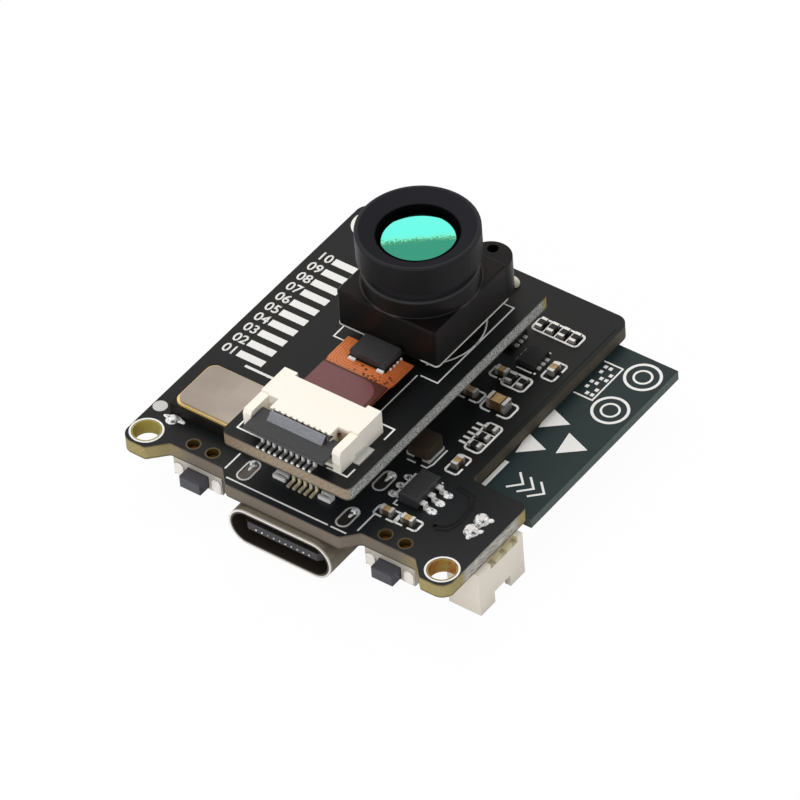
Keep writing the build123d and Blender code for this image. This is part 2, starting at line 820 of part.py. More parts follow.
with BuildPart() as inner_lens:
    with BuildSketch(lens_plane):
        with BuildLine():
            Polyline(
                (0, barrel_bottom + inner_lens_lift),
                (barrel_bore - inner_lens_edge, barrel_bottom + inner_lens_lift),
                (barrel_bore, barrel_bottom + inner_lens_lift + inner_lens_edge),
                (barrel_bore, barrel_bottom + inner_lens_lift + inner_lens_thickness),
                (0, barrel_bottom + inner_lens_lift + inner_lens_thickness),
                close=True,
            )
        make_face()
    revolve(axis=lens_axis)
inner_lens.part.label = "inner_lens"
export_step(inner_lens.part, "parts/inner_lens.step")


# Oscillator
with BuildPart() as osc_base:
    with Locations((osc_x, osc_y, 0)):
        Box(osc_width, osc_length, osc_base_height, align=LOW)
osc_base.part.label = "osc_base"
export_step(osc_base.part, "parts/osc_base.step")

with BuildPart() as osc_ring:
    with BuildSketch(Plane.XY.offset(osc_base_height)):
        with Locations((osc_x, osc_y)):
            RectangleRounded(osc_width - 2 * osc_ring_margin, osc_length - 2 * osc_ring_margin, osc_round)
    extrude(amount=osc_ring_height)
osc_ring.part.label = "osc_ring"
export_step(osc_ring.part, "parts/osc_ring.step")

with BuildPart() as osc_lid:
    with BuildSketch(Plane.XY.offset(osc_base_height + osc_ring_height)):
        with Locations((osc_x, osc_y)):
            RectangleRounded(osc_width - 2 * osc_lid_margin, osc_length - 2 * osc_lid_margin, osc_round)
    extrude(amount=osc_lid_height)
osc_lid.part.label = "osc_lid"
export_step(osc_lid.part, "parts/osc_lid.step")


# USB-C receptacle: drawn shell with four legs that stand in the board's slots
with BuildPart() as usb_shell:
    with BuildSketch(Plane.XZ.offset(-usb_front)):
        with Locations((0, usb_middle)):
            SlotOverall(usb_width, usb_height)
    extrude(amount=-usb_length)
    for side in (-1, 1):
        for leg_y in usb_leg_y:
            with Locations((side * usb_leg_x, leg_y, -usb_leg_tip)):
                Box(usb_leg_sheet, usb_leg_length, -usb_middle - usb_leg_tip, align=HIGH)
    with BuildSketch(Plane.XZ.offset(-usb_front)):
        with Locations((0, usb_middle)):
            SlotOverall(usb_width - 2 * usb_wall, usb_height - 2 * usb_wall)
    extrude(amount=-usb_length, mode=Mode.SUBTRACT)
usb_shell.part.label = "usb_shell"
export_step(usb_shell.part, "parts/usb_shell.step")

with BuildPart() as usb_insulator:
    with BuildSketch(Plane.XZ.offset(-tongue_root)):
        with Locations((0, usb_middle)):
            SlotOverall(usb_width - 2 * usb_wall, usb_height - 2 * usb_wall)
    extrude(amount=-(usb_front + usb_length - tongue_root))
    with Locations((0, tongue_front, usb_middle)):
        Box(tongue_width, tongue_root - tongue_front, tongue_thickness,
            align=(Align.CENTER, Align.MIN, Align.CENTER))
    chamfer(usb_insulator.faces().sort_by(Axis.Y)[0].edges().filter_by(Axis.Z), length=tongue_corner)
usb_insulator.part.label = "usb_insulator"
export_step(usb_insulator.part, "parts/usb_insulator.step")

with BuildPart() as usb_contacts:
    contact_y = tongue_front + usb_contact_setback + usb_contact_length / 2
    for side in (-1, 1):
        with Locations((0, contact_y, usb_middle + side * (tongue_thickness + usb_contact_thickness) / 2)):
            with GridLocations(usb_contact_pitch, 0, usb_contact_count, 1):
                Box(usb_contact_width, usb_contact_length, usb_contact_thickness)
usb_contacts.part.label = "usb_contacts"
export_step(usb_contacts.part, "parts/usb_contacts.step")

with BuildPart() as usb_solder:
    with BuildSketch(Plane.XY.offset(-board_thickness * 0.6)) as usb_solder_sketch:
        for side in (-1, 1):
            for leg_y in usb_leg_y:
                with Locations((side * usb_leg_x, leg_y)):
                    Rectangle(leg_slot_width - 2 * solder_clearance, leg_slot_length - 2 * solder_clearance)
        chamfer(usb_solder_sketch.vertices(), length=leg_slot_width * 0.3)
    extrude(amount=board_thickness * 0.6 - usb_leg_tip + 0.05)
    for side in (-1, 1):
        for leg_y in usb_leg_y:
            with Locations((side * usb_leg_x, leg_y, -usb_leg_tip)):
                Box(usb_leg_sheet, usb_leg_length, board_thickness, align=HIGH, mode=Mode.SUBTRACT)
usb_solder.part.label = "usb_solder"
export_step(usb_solder.part, "parts/usb_solder.step")


# Side switches: the left one is modelled and the right one is its mirror image
with BuildPart() as left_switch_body:
    with Locations((-switch_x, switch_front + cover_sheet, board_under)):
        Box(switch_width - 2 * cover_sheet, switch_depth - cover_sheet, switch_height - cover_sheet,
            align=(Align.CENTER, Align.MIN, Align.MAX))
    with Locations((-switch_x, switch_front, switch_middle)):
        Box(plunger_width + 2 * plunger_flange + 2 * slide_clearance,
            cover_sheet + plunger_stem + slide_clearance + button_travel,
            plunger_height + 2 * slide_clearance,
            align=(Align.CENTER, Align.MIN, Align.CENTER), mode=Mode.SUBTRACT)
    with BuildSketch(Plane.XY.offset(board_under)):
        with Locations((-switch_x, peg_y)):
            with GridLocations(peg_spacing, 0, 2, 1):
                RegularPolygon(peg_radius, 16)
    extrude(amount=peg_length)
left_switch_body.part.label = "left_switch_body"
export_step(left_switch_body.part, "parts/left_switch_body.step")

with BuildPart() as left_switch_cover:
    with Locations((-switch_x, switch_front, board_under)):
        Box(switch_width, switch_depth, switch_height, align=(Align.CENTER, Align.MIN, Align.MAX))
    with Locations((-switch_x, switch_front + cover_sheet, board_under)):
        Box(switch_width - 2 * cover_sheet, switch_depth, switch_height - cover_sheet,
            align=(Align.CENTER, Align.MIN, Align.MAX), mode=Mode.SUBTRACT)
    with Locations((-switch_x, switch_front, switch_middle)):
        Box(plunger_width + 2 * slide_clearance, 2 * cover_sheet, plunger_height + 2 * slide_clearance,
            mode=Mode.SUBTRACT)
    # pressed tabs at both ends of the front
    with BuildSketch(Plane.XZ.offset(-switch_front)) as cover_tabs:
        with Locations((-switch_x, switch_middle)):
            with GridLocations(switch_width - cover_tab_width - cover_sheet, 0, 2, 1):
                Rectangle(cover_tab_width, cover_tab_height)
        chamfer(cover_tabs.vertices(), length=cover_tab_corner)
    extrude(amount=cover_tab_step)
    for side in (-1, 1):
        with Locations((-switch_x + side * (switch_width + switch_foot_length) / 2,
                        switch_front + switch_depth * 0.5, board_under)):
            Box(switch_foot_length, switch_foot_width, switch_foot_sheet, align=HIGH)
left_switch_cover.part.label = "left_switch_cover"
export_step(left_switch_cover.part, "parts/left_switch_cover.step")

with BuildPart() as left_switch_plunger:
    with Locations((-switch_x, switch_front - plunger_reach, switch_middle)):
        Box(plunger_width, plunger_reach + cover_sheet + plunger_stem, plunger_height,
            align=(Align.CENTER, Align.MIN, Align.CENTER))
    fillet(left_switch_plunger.faces().sort_by(Axis.Y)[0].edges(), radius=0.08)
    with Locations((-switch_x, switch_front + cover_sheet + slide_clearance, switch_middle)):
        Box(plunger_width + 2 * plunger_flange, plunger_stem - slide_clearance, plunger_height,
            align=(Align.CENTER, Align.MIN, Align.CENTER))
left_switch_plunger.part.label = "left_switch_plunger"
export_step(left_switch_plunger.part, "parts/left_switch_plunger.step")

with BuildPart() as right_switch_body:
    mirror(left_switch_body.part, about=Plane.YZ)
right_switch_body.part.label = "right_switch_body"
export_step(right_switch_body.part, "parts/right_switch_body.step")

with BuildPart() as right_switch_cover:
    mirror(left_switch_cover.part, about=Plane.YZ)
right_switch_cover.part.label = "right_switch_cover"
export_step(right_switch_cover.part, "parts/right_switch_cover.step")

with BuildPart() as right_switch_plunger:
    mirror(left_switch_plunger.part, about=Plane.YZ)
right_switch_plunger.part.label = "right_switch_plunger"
export_step(right_switch_plunger.part, "parts/right_switch_plunger.step")


# Wire connector: moulded housing open downwards, with a latch notch in its outer wall
with BuildPart() as wire_housing:
    with Locations((wire_x, wire_y, board_under)):
        Box(wire_width, wire_length, wire_height, align=HIGH)
    with Locations((wire_x, wire_y, board_under - wire_height + wire_depth)):
        Box(wire_width - 2 * wire_wall, wire_length - 2 * wire_wall, wire_depth + 1, align=HIGH,
            mode=Mode.SUBTRACT)
    with Locations((wire_outer, wire_y, board_under - wire_height)):
        Box(2 * wire_wall + 0.1, wire_notch_length, 2 * wire_notch_depth, mode=Mode.SUBTRACT)
    # vents under the board's edge, one between the pins and one at each side of them
    with Locations((wire_outer, sum(wire_pins) / len(wire_pins), board_under)):
        with GridLocations(0, wire_pin_pitch, 1, 3):
            Box(2 * wire_overhang, wire_gap_width, 2 * wire_gap_depth, mode=Mode.SUBTRACT)
    # passages for the pins through the housing's roof
    with Locations(*[(wire_pin_x, pin_y, board_under) for pin_y in wire_pins]):
        Box(wire_pin_size, wire_pin_size, 2 * wire_height, mode=Mode.SUBTRACT)
wire_housing.part.label = "wire_housing"
export_step(wire_housing.part, "parts/wire_housing.step")

with BuildPart() as wire_pins_metal:
    roof_under = board_under - wire_height + wire_depth
    with Locations(*[(wire_pin_x, pin_y, wire_pin_rise) for pin_y in wire_pins]):
        Box(wire_pin_size, wire_pin_size, wire_pin_rise - roof_under + wire_pin_length - 0.4, align=HIGH)
wire_pins_metal.part.label = "wire_pins"
export_step(wire_pins_metal.part, "parts/wire_pins.step")


# Small components
with BuildPart() as capacitor_bodies:
    for size, places in ((cap_size, cap_places), (big_cap_size, big_cap_places)):
        for x, y, turn in places:
            with Locations(Location((x, y, end_skin), (0, 0, turn))):
                Box(size[0] * (1 - 2 * end_share), size[1], size[2], align=LOW)
capacitor_bodies.part.label = "capacitor_bodies"
export_step(capacitor_bodies.part, "parts/capacitor_bodies.step")

with BuildPart() as capacitor_ends:
    for size, places in ((cap_size, cap_places), (big_cap_size, big_cap_places)):
        for x, y, turn in places:
            with Locations(Location((x, y, 0), (0, 0, turn))):
                with GridLocations(size[0] * (1 - end_share), 0, 2, 1):
                    Box(size[0] * end_share, size[1] + 2 * end_skin, size[2] + 2 * end_skin, align=LOW)
capacitor_ends.part.label = "capacitor_ends"
export_step(capacitor_ends.part, "parts/capacitor_ends.step")

with BuildPart() as resistor_bodies:
    for x, y, turn in res_places:
        with Locations(Location((x, y, end_skin), (0, 0, turn))):
            Box(res_size[0] * (1 - 2 * end_share), res_size[1], res_size[2], align=LOW)
resistor_bodies.part.label = "resistor_bodies"
export_step(resistor_bodies.part, "parts/resistor_bodies.step")

with BuildPart() as resistor_ends:
    for x, y, turn in res_places:
        with Locations(Location((x, y, 0), (0, 0, turn))):
            with GridLocations(res_size[0] * (1 - end_share), 0, 2, 1):
                Box(res_size[0] * end_share, res_size[1], res_size[2] + end_skin, align=LOW)
resistor_ends.part.label = "resistor_ends"
export_step(resistor_ends.part, "parts/resistor_ends.step")

with BuildPart() as regulator_body:
    with Locations((reg_x, reg_y, reg_lift)):
        Box(reg_width, reg_length, reg_height, align=LOW)
    chamfer(regulator_body.faces().sort_by(Axis.Z)[-1].edges(), length=0.12)
regulator_body.part.label = "regulator_body"
export_step(regulator_body.part, "parts/regulator_body.step")

with BuildPart() as regulator_leads:
    lead_level = reg_lift + reg_height * 0.45
    for side in (-1, 1):
        with Locations((reg_x + side * reg_width / 2, reg_y, 0)):
            with GridLocations(0, reg_pitch, 1, 3):
                with Locations((side * (reg_lead_reach - reg_lead_foot / 2), 0, 0)):
                    Box(reg_lead_foot, reg_lead_width, reg_lead_sheet, align=LOW)
                with Locations((side * (reg_lead_reach - reg_lead_foot), 0, 0)):
                    Box(reg_lead_sheet, reg_lead_width, lead_level, align=LOW)
                with Locations((side * (reg_lead_reach - reg_lead_foot) / 2, 0, lead_level - reg_lead_sheet)):
                    Box(reg_lead_reach - reg_lead_foot, reg_lead_width, reg_lead_sheet, align=LOW)
regulator_leads.part.label = "regulator_leads"
export_step(regulator_leads.part, "parts/regulator_leads.step")

with BuildPart() as inductor_core:
    with Locations((inductor_x, inductor_y, inductor_base)):
        Box(inductor_size, inductor_size, inductor_height - inductor_base, align=LOW)
    chamfer(inductor_core.edges().filter_by(Axis.Z), length=0.25)
inductor_core.part.label = "inductor_core"
export_step(inductor_core.part, "parts/inductor_core.step")

with BuildPart() as inductor_ends:
    with Locations((inductor_x, inductor_y, 0)):
        with GridLocations(inductor_size * 0.68, 0, 2, 1):
            Box(inductor_size * 0.32, inductor_size * 0.9, inductor_base, align=LOW)
inductor_ends.part.label = "inductor_ends"
export_step(inductor_ends.part, "parts/inductor_ends.step")

with BuildPart() as flat_chips:
    for x, y in flat_chip_places:
        with Locations((x, y, 0.02)):
            Box(flat_chip_width, flat_chip_length, flat_chip_height, align=LOW)
flat_chips.part.label = "flat_chips"
export_step(flat_chips.part, "parts/flat_chips.step")

with BuildPart() as flat_chip_pads:
    for x, y in flat_chip_places:
        for side in (-1, 1):
            with Locations((x + side * (flat_chip_width / 2 + flat_pad_size / 2), y, 0)):
                with GridLocations(0, flat_pad_pitch, 1, 3):
                    Box(flat_pad_size, flat_pad_size, flat_pad_sheet, align=LOW)
flat_chip_pads.part.label = "flat_chip_pads"
export_step(flat_chip_pads.part, "parts/flat_chip_pads.step")

with BuildPart() as test_pad:
    with BuildSketch(Plane.XY):
        with Locations((test_pad_side - board_side, test_pad_y)):
            Circle(test_pad_radius)
    extrude(amount=test_pad_thickness)
test_pad.part.label = "test_pad"
export_step(test_pad.part, "parts/test_pad.step")

with BuildPart() as solder_beads:
    with BuildSketch(Plane.XY):
        with Locations((bead_x, osc_y - osc_length / 2 - bead_radius)):
            RegularPolygon(bead_radius, 10)
    extrude(amount=bead_height, taper=40)
    with BuildSketch(Plane.XY):
        with Locations(*[(wire_pin_x, pin_y) for pin_y in wire_pins]):
            RegularPolygon(wire_pin_size + pin_hole_clearance, 10)
    extrude(amount=wire_pin_rise - pin_hole_clearance / 2, taper=25)
    with Locations(*[(wire_pin_x, pin_y, 0) for pin_y in wire_pins]):
        Box(wire_pin_size, wire_pin_size, 2 * wire_pin_rise, align=LOW, mode=Mode.SUBTRACT)
solder_beads.part.label = "solder_beads"
export_step(solder_beads.part, "parts/solder_beads.step")
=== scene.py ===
import math

import bpy
from bpy.props import FloatProperty, FloatVectorProperty, PointerProperty
from mathutils import Matrix, Vector


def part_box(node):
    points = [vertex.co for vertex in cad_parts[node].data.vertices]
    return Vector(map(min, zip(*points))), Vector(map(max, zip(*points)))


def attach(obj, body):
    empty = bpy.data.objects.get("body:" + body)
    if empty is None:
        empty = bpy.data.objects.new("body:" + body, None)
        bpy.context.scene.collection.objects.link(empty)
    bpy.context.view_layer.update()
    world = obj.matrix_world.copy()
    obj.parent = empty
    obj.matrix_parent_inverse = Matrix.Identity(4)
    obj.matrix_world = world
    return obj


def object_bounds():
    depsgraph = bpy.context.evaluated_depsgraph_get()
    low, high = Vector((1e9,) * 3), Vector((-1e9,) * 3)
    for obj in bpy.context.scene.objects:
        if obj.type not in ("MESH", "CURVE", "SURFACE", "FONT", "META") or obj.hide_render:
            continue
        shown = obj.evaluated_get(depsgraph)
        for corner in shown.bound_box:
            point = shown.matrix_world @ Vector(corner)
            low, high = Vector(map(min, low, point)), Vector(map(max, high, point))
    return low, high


bl_info = {
    "name": "Camera Module Dressing",
    "version": (1, 0, 0),
    "blender": (4, 5, 0),
    "location": "3D View > Sidebar > Module",
    "description": "Dresses a small camera board with its print, solder, finishes and studio",
    "category": "Object",
}

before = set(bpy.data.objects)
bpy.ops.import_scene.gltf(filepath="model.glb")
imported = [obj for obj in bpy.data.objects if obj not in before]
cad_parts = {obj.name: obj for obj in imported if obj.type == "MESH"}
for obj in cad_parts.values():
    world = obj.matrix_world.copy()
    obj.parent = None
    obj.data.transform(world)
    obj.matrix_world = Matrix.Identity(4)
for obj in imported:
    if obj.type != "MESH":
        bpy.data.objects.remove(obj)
CAD_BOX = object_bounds()
MM = 0.001
DONE = {"FINISHED"}


def corners(name):
    """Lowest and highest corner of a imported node, in millimetres."""
    return [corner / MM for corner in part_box(name)]


def srgb(code):
    """Linear colour of a hexadecimal screen colour."""
    parts = [int(code[i:i + 2], 16) / 255 for i in (0, 2, 4)]
    return *(part / 12.92 if part <= 0.04045 else ((part + 0.055) / 1.055) ** 2.4 for part in parts), 1.0


def lighter(colour, share):
    """A colour from the settings, times a share."""
    return [part * share for part in colour[:3]] + [1.0]


FLOOR_LEVEL = CAD_BOX[0][2] / MM
MAIN_UNDER, MAIN_TOP = (corner.z for corner in corners("main_board"))
CAMERA_UNDER, CAMERA_TOP = (corner.z for corner in corners("camera_board"))
RADIO_TOP = corners("radio_board")[1].z
FLEX_TOP = corners("camera_flex")[1].z
LENS_MIDDLE = sum(corners("lens_barrel"), Vector((0, 0, 0))) / 2
LENS_EDGE = corners("lens_barrel")[1].z
COLLAR_RADIUS = 4.25
HEAD_RADIUS = 4.49
EAR_HOLES = [(side * 12.9, 0.0) for side in (-1, 1)]
LEG_SLOTS = [(side * 4.32, y) for side in (-1, 1) for y in (0.63, 4.93)]
PIN_ROWS = [9.92 + count * 1.27 for count in range(10)]
LAYER_STEP = 0.004
LETTER_SWELL = 0.02
USB_WIDTH = 8.94
USB_HEIGHT = 3.16


# Settings


class ModuleSizes(bpy.types.PropertyGroup):
    line_width: FloatProperty(
        name="Print line", description="Width of the printed outlines, in millimetres",
        default=0.13, min=0.05, max=0.4)
    print_height: FloatProperty(
        name="Print height", description="Thickness of the white print, in millimetres",
        default=0.012, min=0.005, max=0.05)
    label_size: FloatProperty(
        name="Number size", description="Height of the pin numbers, in millimetres",
        default=1.22, min=0.4, max=1.4)
    solder_height: FloatProperty(
        name="Solder height", description="Height of the small solder joints, in millimetres",
        default=0.13, min=0.05, max=0.3)


class ModuleColours(bpy.types.PropertyGroup):
    mask: FloatVectorProperty(
        name="Board", description="Solder mask of the two black boards",
        subtype="COLOR", size=4, min=0, max=1, default=srgb("131416"))
    slate: FloatVectorProperty(
        name="Radio board", description="Solder mask of the radio board",
        subtype="COLOR", size=4, min=0, max=1, default=srgb("1d2a2c"))
    ink: FloatVectorProperty(
        name="Print", description="White print on the boards",
        subtype="COLOR", size=4, min=0, max=1, default=srgb("f7f6f2"))
    coating: FloatVectorProperty(
        name="Lens coating", description="Colour that the coated front lens reflects",
        subtype="COLOR", size=4, min=0, max=1, default=srgb("6dfdea"))


class StudioSettings(bpy.types.PropertyGroup):
    azimuth: FloatProperty(
        name="Azimuth", description="Turn of the camera about the object",
        default=math.radians(39.389), subtype="ANGLE")
    elevation: FloatProperty(
        name="Elevation", description="Height of the camera's line of sight",
        default=math.radians(43.089), subtype="ANGLE")
    roll: FloatProperty(
        name="Roll", description="Turn of the camera about its line of sight",
        default=math.radians(-4.638), subtype="ANGLE")
    distance: FloatProperty(
        name="Distance", description="Distance from the camera to its aim", default=0.525659, unit="LENGTH")
    aim: FloatVectorProperty(
        name="Aim", description="Point that the camera turns about", default=(-0.0002, 0.012, 0.0),
        subtype="TRANSLATION", unit="LENGTH")
    slide: FloatVectorProperty(
        name="Slide", description="Sideways place of the camera against its aim",
        default=(-0.000562, 0.000099), size=2, unit="LENGTH")
    lens: FloatProperty(
        name="Lens", description="Focal length on a 36 mm sensor, in millimetres", default=334.99)
    surround: FloatProperty(
        name="Surround", description="Strength of the even light around the object", default=0.62, min=0)
    key: FloatProperty(
        name="Key", description="Power of the large lamp above the object, in watts", default=0.65, min=0)
    wall_tilt: FloatProperty(
        name="Wall tilt", description="Tilt from upright of the line where the mirrored wall ends",
        default=math.radians(70), subtype="ANGLE")
    wall_edge: FloatProperty(
        name="Wall edge", description="Height of that line, as a cosine", default=0.889, min=0, max=1)
    ceiling: FloatVectorProperty(
        name="Ceiling", description="Colour mirrored from above the wall",
        subtype="COLOR", size=4, min=0, max=1, default=(0.33, 0.34, 0.265, 1))
    specks: FloatVectorProperty(
        name="Specks", description="Colour of the bright specks along the wall's edge",
        subtype="COLOR", size=4, min=0, max=4, default=(2.0, 0.75, 0.3, 1))
    floor_glow: FloatProperty(
        name="Floor glow", description="How far the camera sees the floor as plain white",
        default=0.97, min=0, max=1)
    fill: FloatProperty(
        name="Fill", description="Power of the low lamp on the camera's side, in watts", default=0.3, min=0)


# Shader maths


def maths(operation, reflected=False):
    """A method that adds one Math node. A reflected one has its value on the operator's right."""
    def method(self, other=0.0):
        first, second = (other, self) if reflected else (self, other)
        return self.finish.math(operation, first, second)
    return method


class Value:
    """One socket of a tree. Python's operators on it add Math nodes."""

    __add__, __radd__ = maths("ADD"), maths("ADD", True)
    __sub__, __rsub__ = maths("SUBTRACT"), maths("SUBTRACT", True)
    __mul__, __rmul__ = maths("MULTIPLY"), maths("MULTIPLY", True)
    __truediv__, __rtruediv__ = maths("DIVIDE"), maths("DIVIDE", True)
    __lt__, __gt__, __abs__ = maths("LESS_THAN"), maths("GREATER_THAN"), maths("ABSOLUTE")
    larger, root, sine = maths("MAXIMUM"), maths("SQRT"), maths("SINE")

    def __init__(self, finish, socket):
        self.finish = finish
        self.socket = socket

    def clamped(self):
        return self.finish.math("ADD", self, 0.0, clamp=True)

    def rise(self, start, run):
        """0 up to the start, then up to 1 over the run."""
        return ((self - start) / run).clamped()

    def fall(self, end, run):
        """1 until the run before the end, and 0 from the end on."""
        return ((end - self) / run).clamped()

    def between(self, low, high, soft=0.03):
        return self.rise(low, soft) * self.fall(high, soft)


def distance(across, along):
    """How far a point lies from where both values are 0."""
    return (across * across + along * along).root()


class Nodes:
    """A node tree that is emptied and built anew."""

    def __init__(self, owner):
        owner.use_nodes = True
        self.tree = owner.node_tree
        self.tree.nodes.clear()

    def place(self, kind, settings=None, inputs=None):
        """A new node: its type, its settings, and the values or links of its sockets."""
        made = self.tree.nodes.new("ShaderNode" + kind)
        for key, value in (settings or {}).items():
            setattr(made, key, value)
        for key, value in (inputs or {}).items():
            self.feed(made.inputs[key], value)
        return made

    def node(self, kind, settings, inputs, output=0):
        return Value(self, self.place(kind, settings, inputs).outputs[output])

    def feed(self, socket, value):
        """Links or sets one socket. Text is a hexadecimal colour."""
        if isinstance(value, str):
            value = srgb(value)
        if isinstance(value, Value):
            value = value.socket
        if isinstance(value, bpy.types.NodeSocket):
            self.tree.links.new(value, socket)
        else:
            socket.default_value = value

    def math(self, operation, first, second=0.0, clamp=False):
        return self.node("Math", {"operation": operation, "use_clamp": clamp}, {0: first, 1: second})

    def parts(self, vector):
        return [Value(self, out) for out in self.place("SeparateXYZ", {}, {0: vector}).outputs]

    def mix(self, factor, first, second):
        return self.node("Mix", {"data_type": "RGBA"}, {"Factor": factor, 6: first, 7: second}, 2)


class Finish(Nodes):
    """One procedural material, in millimetres of the object's own coordinates."""

    def __init__(self, name):
        self.material = bpy.data.materials.new(name)
        super().__init__(self.material)
        self.shader = self.place("BsdfPrincipled")
        self.place("OutputMaterial", {}, {"Surface": self.shader.outputs["BSDF"]})
        own = self.place("TexCoord").outputs
        self.point = self.node("VectorMath", {"operation": "SCALE"},
                               {"Vector": own["Object"], "Scale": 1 / MM})
        self.x, self.y, self.z = self.parts(self.point)
        self.facing = self.parts(own["Normal"])

    def noise(self, scale, detail=2.0, rough=0.5, stretch=(1, 1, 1)):
        point = self.point
        if stretch != (1, 1, 1):
            point = self.node("VectorMath", {"operation": "MULTIPLY"}, {0: point, 1: stretch})
        inputs = {"Vector": point, "Scale": scale, "Detail": detail, "Roughness": rough}
        return self.node("TexNoise", {}, inputs)

    def cells(self, scale):
        return self.node("TexVoronoi", {}, {"Vector": self.point, "Scale": scale})

    def away(self, x, y):
        """Distance from an upright line."""
        return distance(self.x - x, self.y - y)

    def disc(self, x, y, radius, soft=0.03):
        return ((radius - self.away(x, y)) / soft + 0.5).clamped()

    def bump(self, height, strength=0.3, depth=0.02, under=None):
        inputs = {"Height": height, "Strength": strength, "Distance": depth * MM}
        if under is not None:
            inputs["Normal"] = under
        return self.node("Bump", {}, inputs)

    def soft_edges(self, radius):
        return self.node("Bevel", {"samples": 4}, {"Radius": radius * MM})

    def rough(self, grain, middle, spread, strength=0.25, depth=0.01, edge=0.0):
        """Roughness and bumps from one grain, and edges that catch light."""
        under = self.soft_edges(edge) if edge else None
        return {"roughness": middle + (grain - 0.5) * spread,
                "normal": self.bump(grain, strength, depth, under)}

    def set(self, **sockets):
        for key, value in sockets.items():
            self.feed(self.shader.inputs[key.replace("_", " ").title().replace("Ior", "IOR")], value)
        return self.material


def grained(name, colour, second, rough, edge=0.0, grain=6.0, metal=0.0, depth=0.01, coat=0.0, shine=0.5):
    """Moulded, cast or machined surface: two close colours in grains, a matching roughness and fine bumps."""
    f = Finish(name)
    grains = f.noise(grain, 3.0, 0.6)
    broad = f.noise(grain * 0.15, 2.0)
    return f.set(
        base_color=f.mix((grains * 0.6 + broad * 0.4).clamped(), colour, second),
        metallic=metal,
        coat_weight=coat,
        specular_ior_level=shine,
        **f.rough(grains, rough, 0.12, depth=depth, edge=edge),
    )


def board_finish(name, mask, vias=()):
    """A solder mask with filled vias: its finish, where the two faces are, its colour, its other sockets."""
    f = Finish(name)
    flat = abs(f.facing[2]) > 0.5
    cloth = f.noise(9.0, 3.0, 0.7)
    weave = (f.x * 9.0).sine() * (f.y * 9.0).sine() * 0.5 + 0.5
    colour = f.mix((f.noise(0.35, 2.0) * 1.4 - 0.2).clamped(), mask, lighter(mask, 1.35))
    for x, y, radius in vias:
        colour = f.mix(f.disc(x, y, radius, 0.05) * 0.8, colour, "050505")
    return f, flat, colour, {
        "roughness": 0.4 + (cloth - 0.5) * 0.1 + (1 - flat) * 0.3,
        "specular_ior_level": 0.3,
        "normal": f.bump(weave * 0.25 + cloth * 0.35, 0.2, 0.01),
    }


# Modelling helpers


def spin(degrees, middle):
    """Turns what is selected about an upright line, clockwise as seen from above."""
    if degrees:
        bpy.ops.transform.rotate(value=-math.radians(degrees), orient_axis="Z", center_override=middle)


def select_none():
    if bpy.context.mode != "OBJECT":
        bpy.ops.object.mode_set(mode="OBJECT")
    bpy.ops.object.select_all(action="DESELECT")


def dress(material, *names):
    """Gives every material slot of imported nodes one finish."""
    for name in names:
        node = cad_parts[name]
        if not node.material_slots:
            node.data.materials.append(material)
        for slot in node.material_slots:
            slot.material = material


def empty_piece(name):
    """A new piece in edit mode, with nothing in it yet."""
    select_none()
    bpy.ops.mesh.primitive_plane_add(size=MM)
    piece = bpy.context.object
    piece.name = piece.data.name = name
    bpy.ops.object.mode_set(mode="EDIT")
    bpy.ops.mesh.delete(type="VERT")
    return piece


class Blobs:
    """Molten pieces, such as solder: balls in millimetres that are melted together and then scaled down."""

    def __init__(self, name):
        self.piece = empty_piece(name)

    def ball(self, x, y, z, long, wide, high, turn=0):
        bpy.ops.mesh.primitive_uv_sphere_add(segments=16, ring_count=10, radius=0.5, location=(x, y, z))
        bpy.ops.transform.resize(value=(long, wide, high), center_override=(x, y, z))
        spin(turn, (x, y, z))

    def close(self, grain, body, slot, material):
        bpy.ops.object.mode_set(mode="OBJECT")
        melt = self.piece.modifiers.new("Melt", "REMESH")
        melt.mode = "VOXEL"
        melt.voxel_size = grain
        melt.use_smooth_shade = True
        even = self.piece.modifiers.new("Even", "SMOOTH")
        even.iterations = 3
        for modifier in (melt.name, even.name):
            bpy.ops.object.modifier_apply(modifier=modifier)
        bpy.ops.object.mode_set(mode="EDIT")
        bpy.ops.mesh.select_all(action="SELECT")
        bpy.ops.transform.resize(value=(MM, MM, MM), center_override=(0, 0, 0))
        bpy.ops.object.mode_set(mode="OBJECT")
        seat(self.piece, body, material)


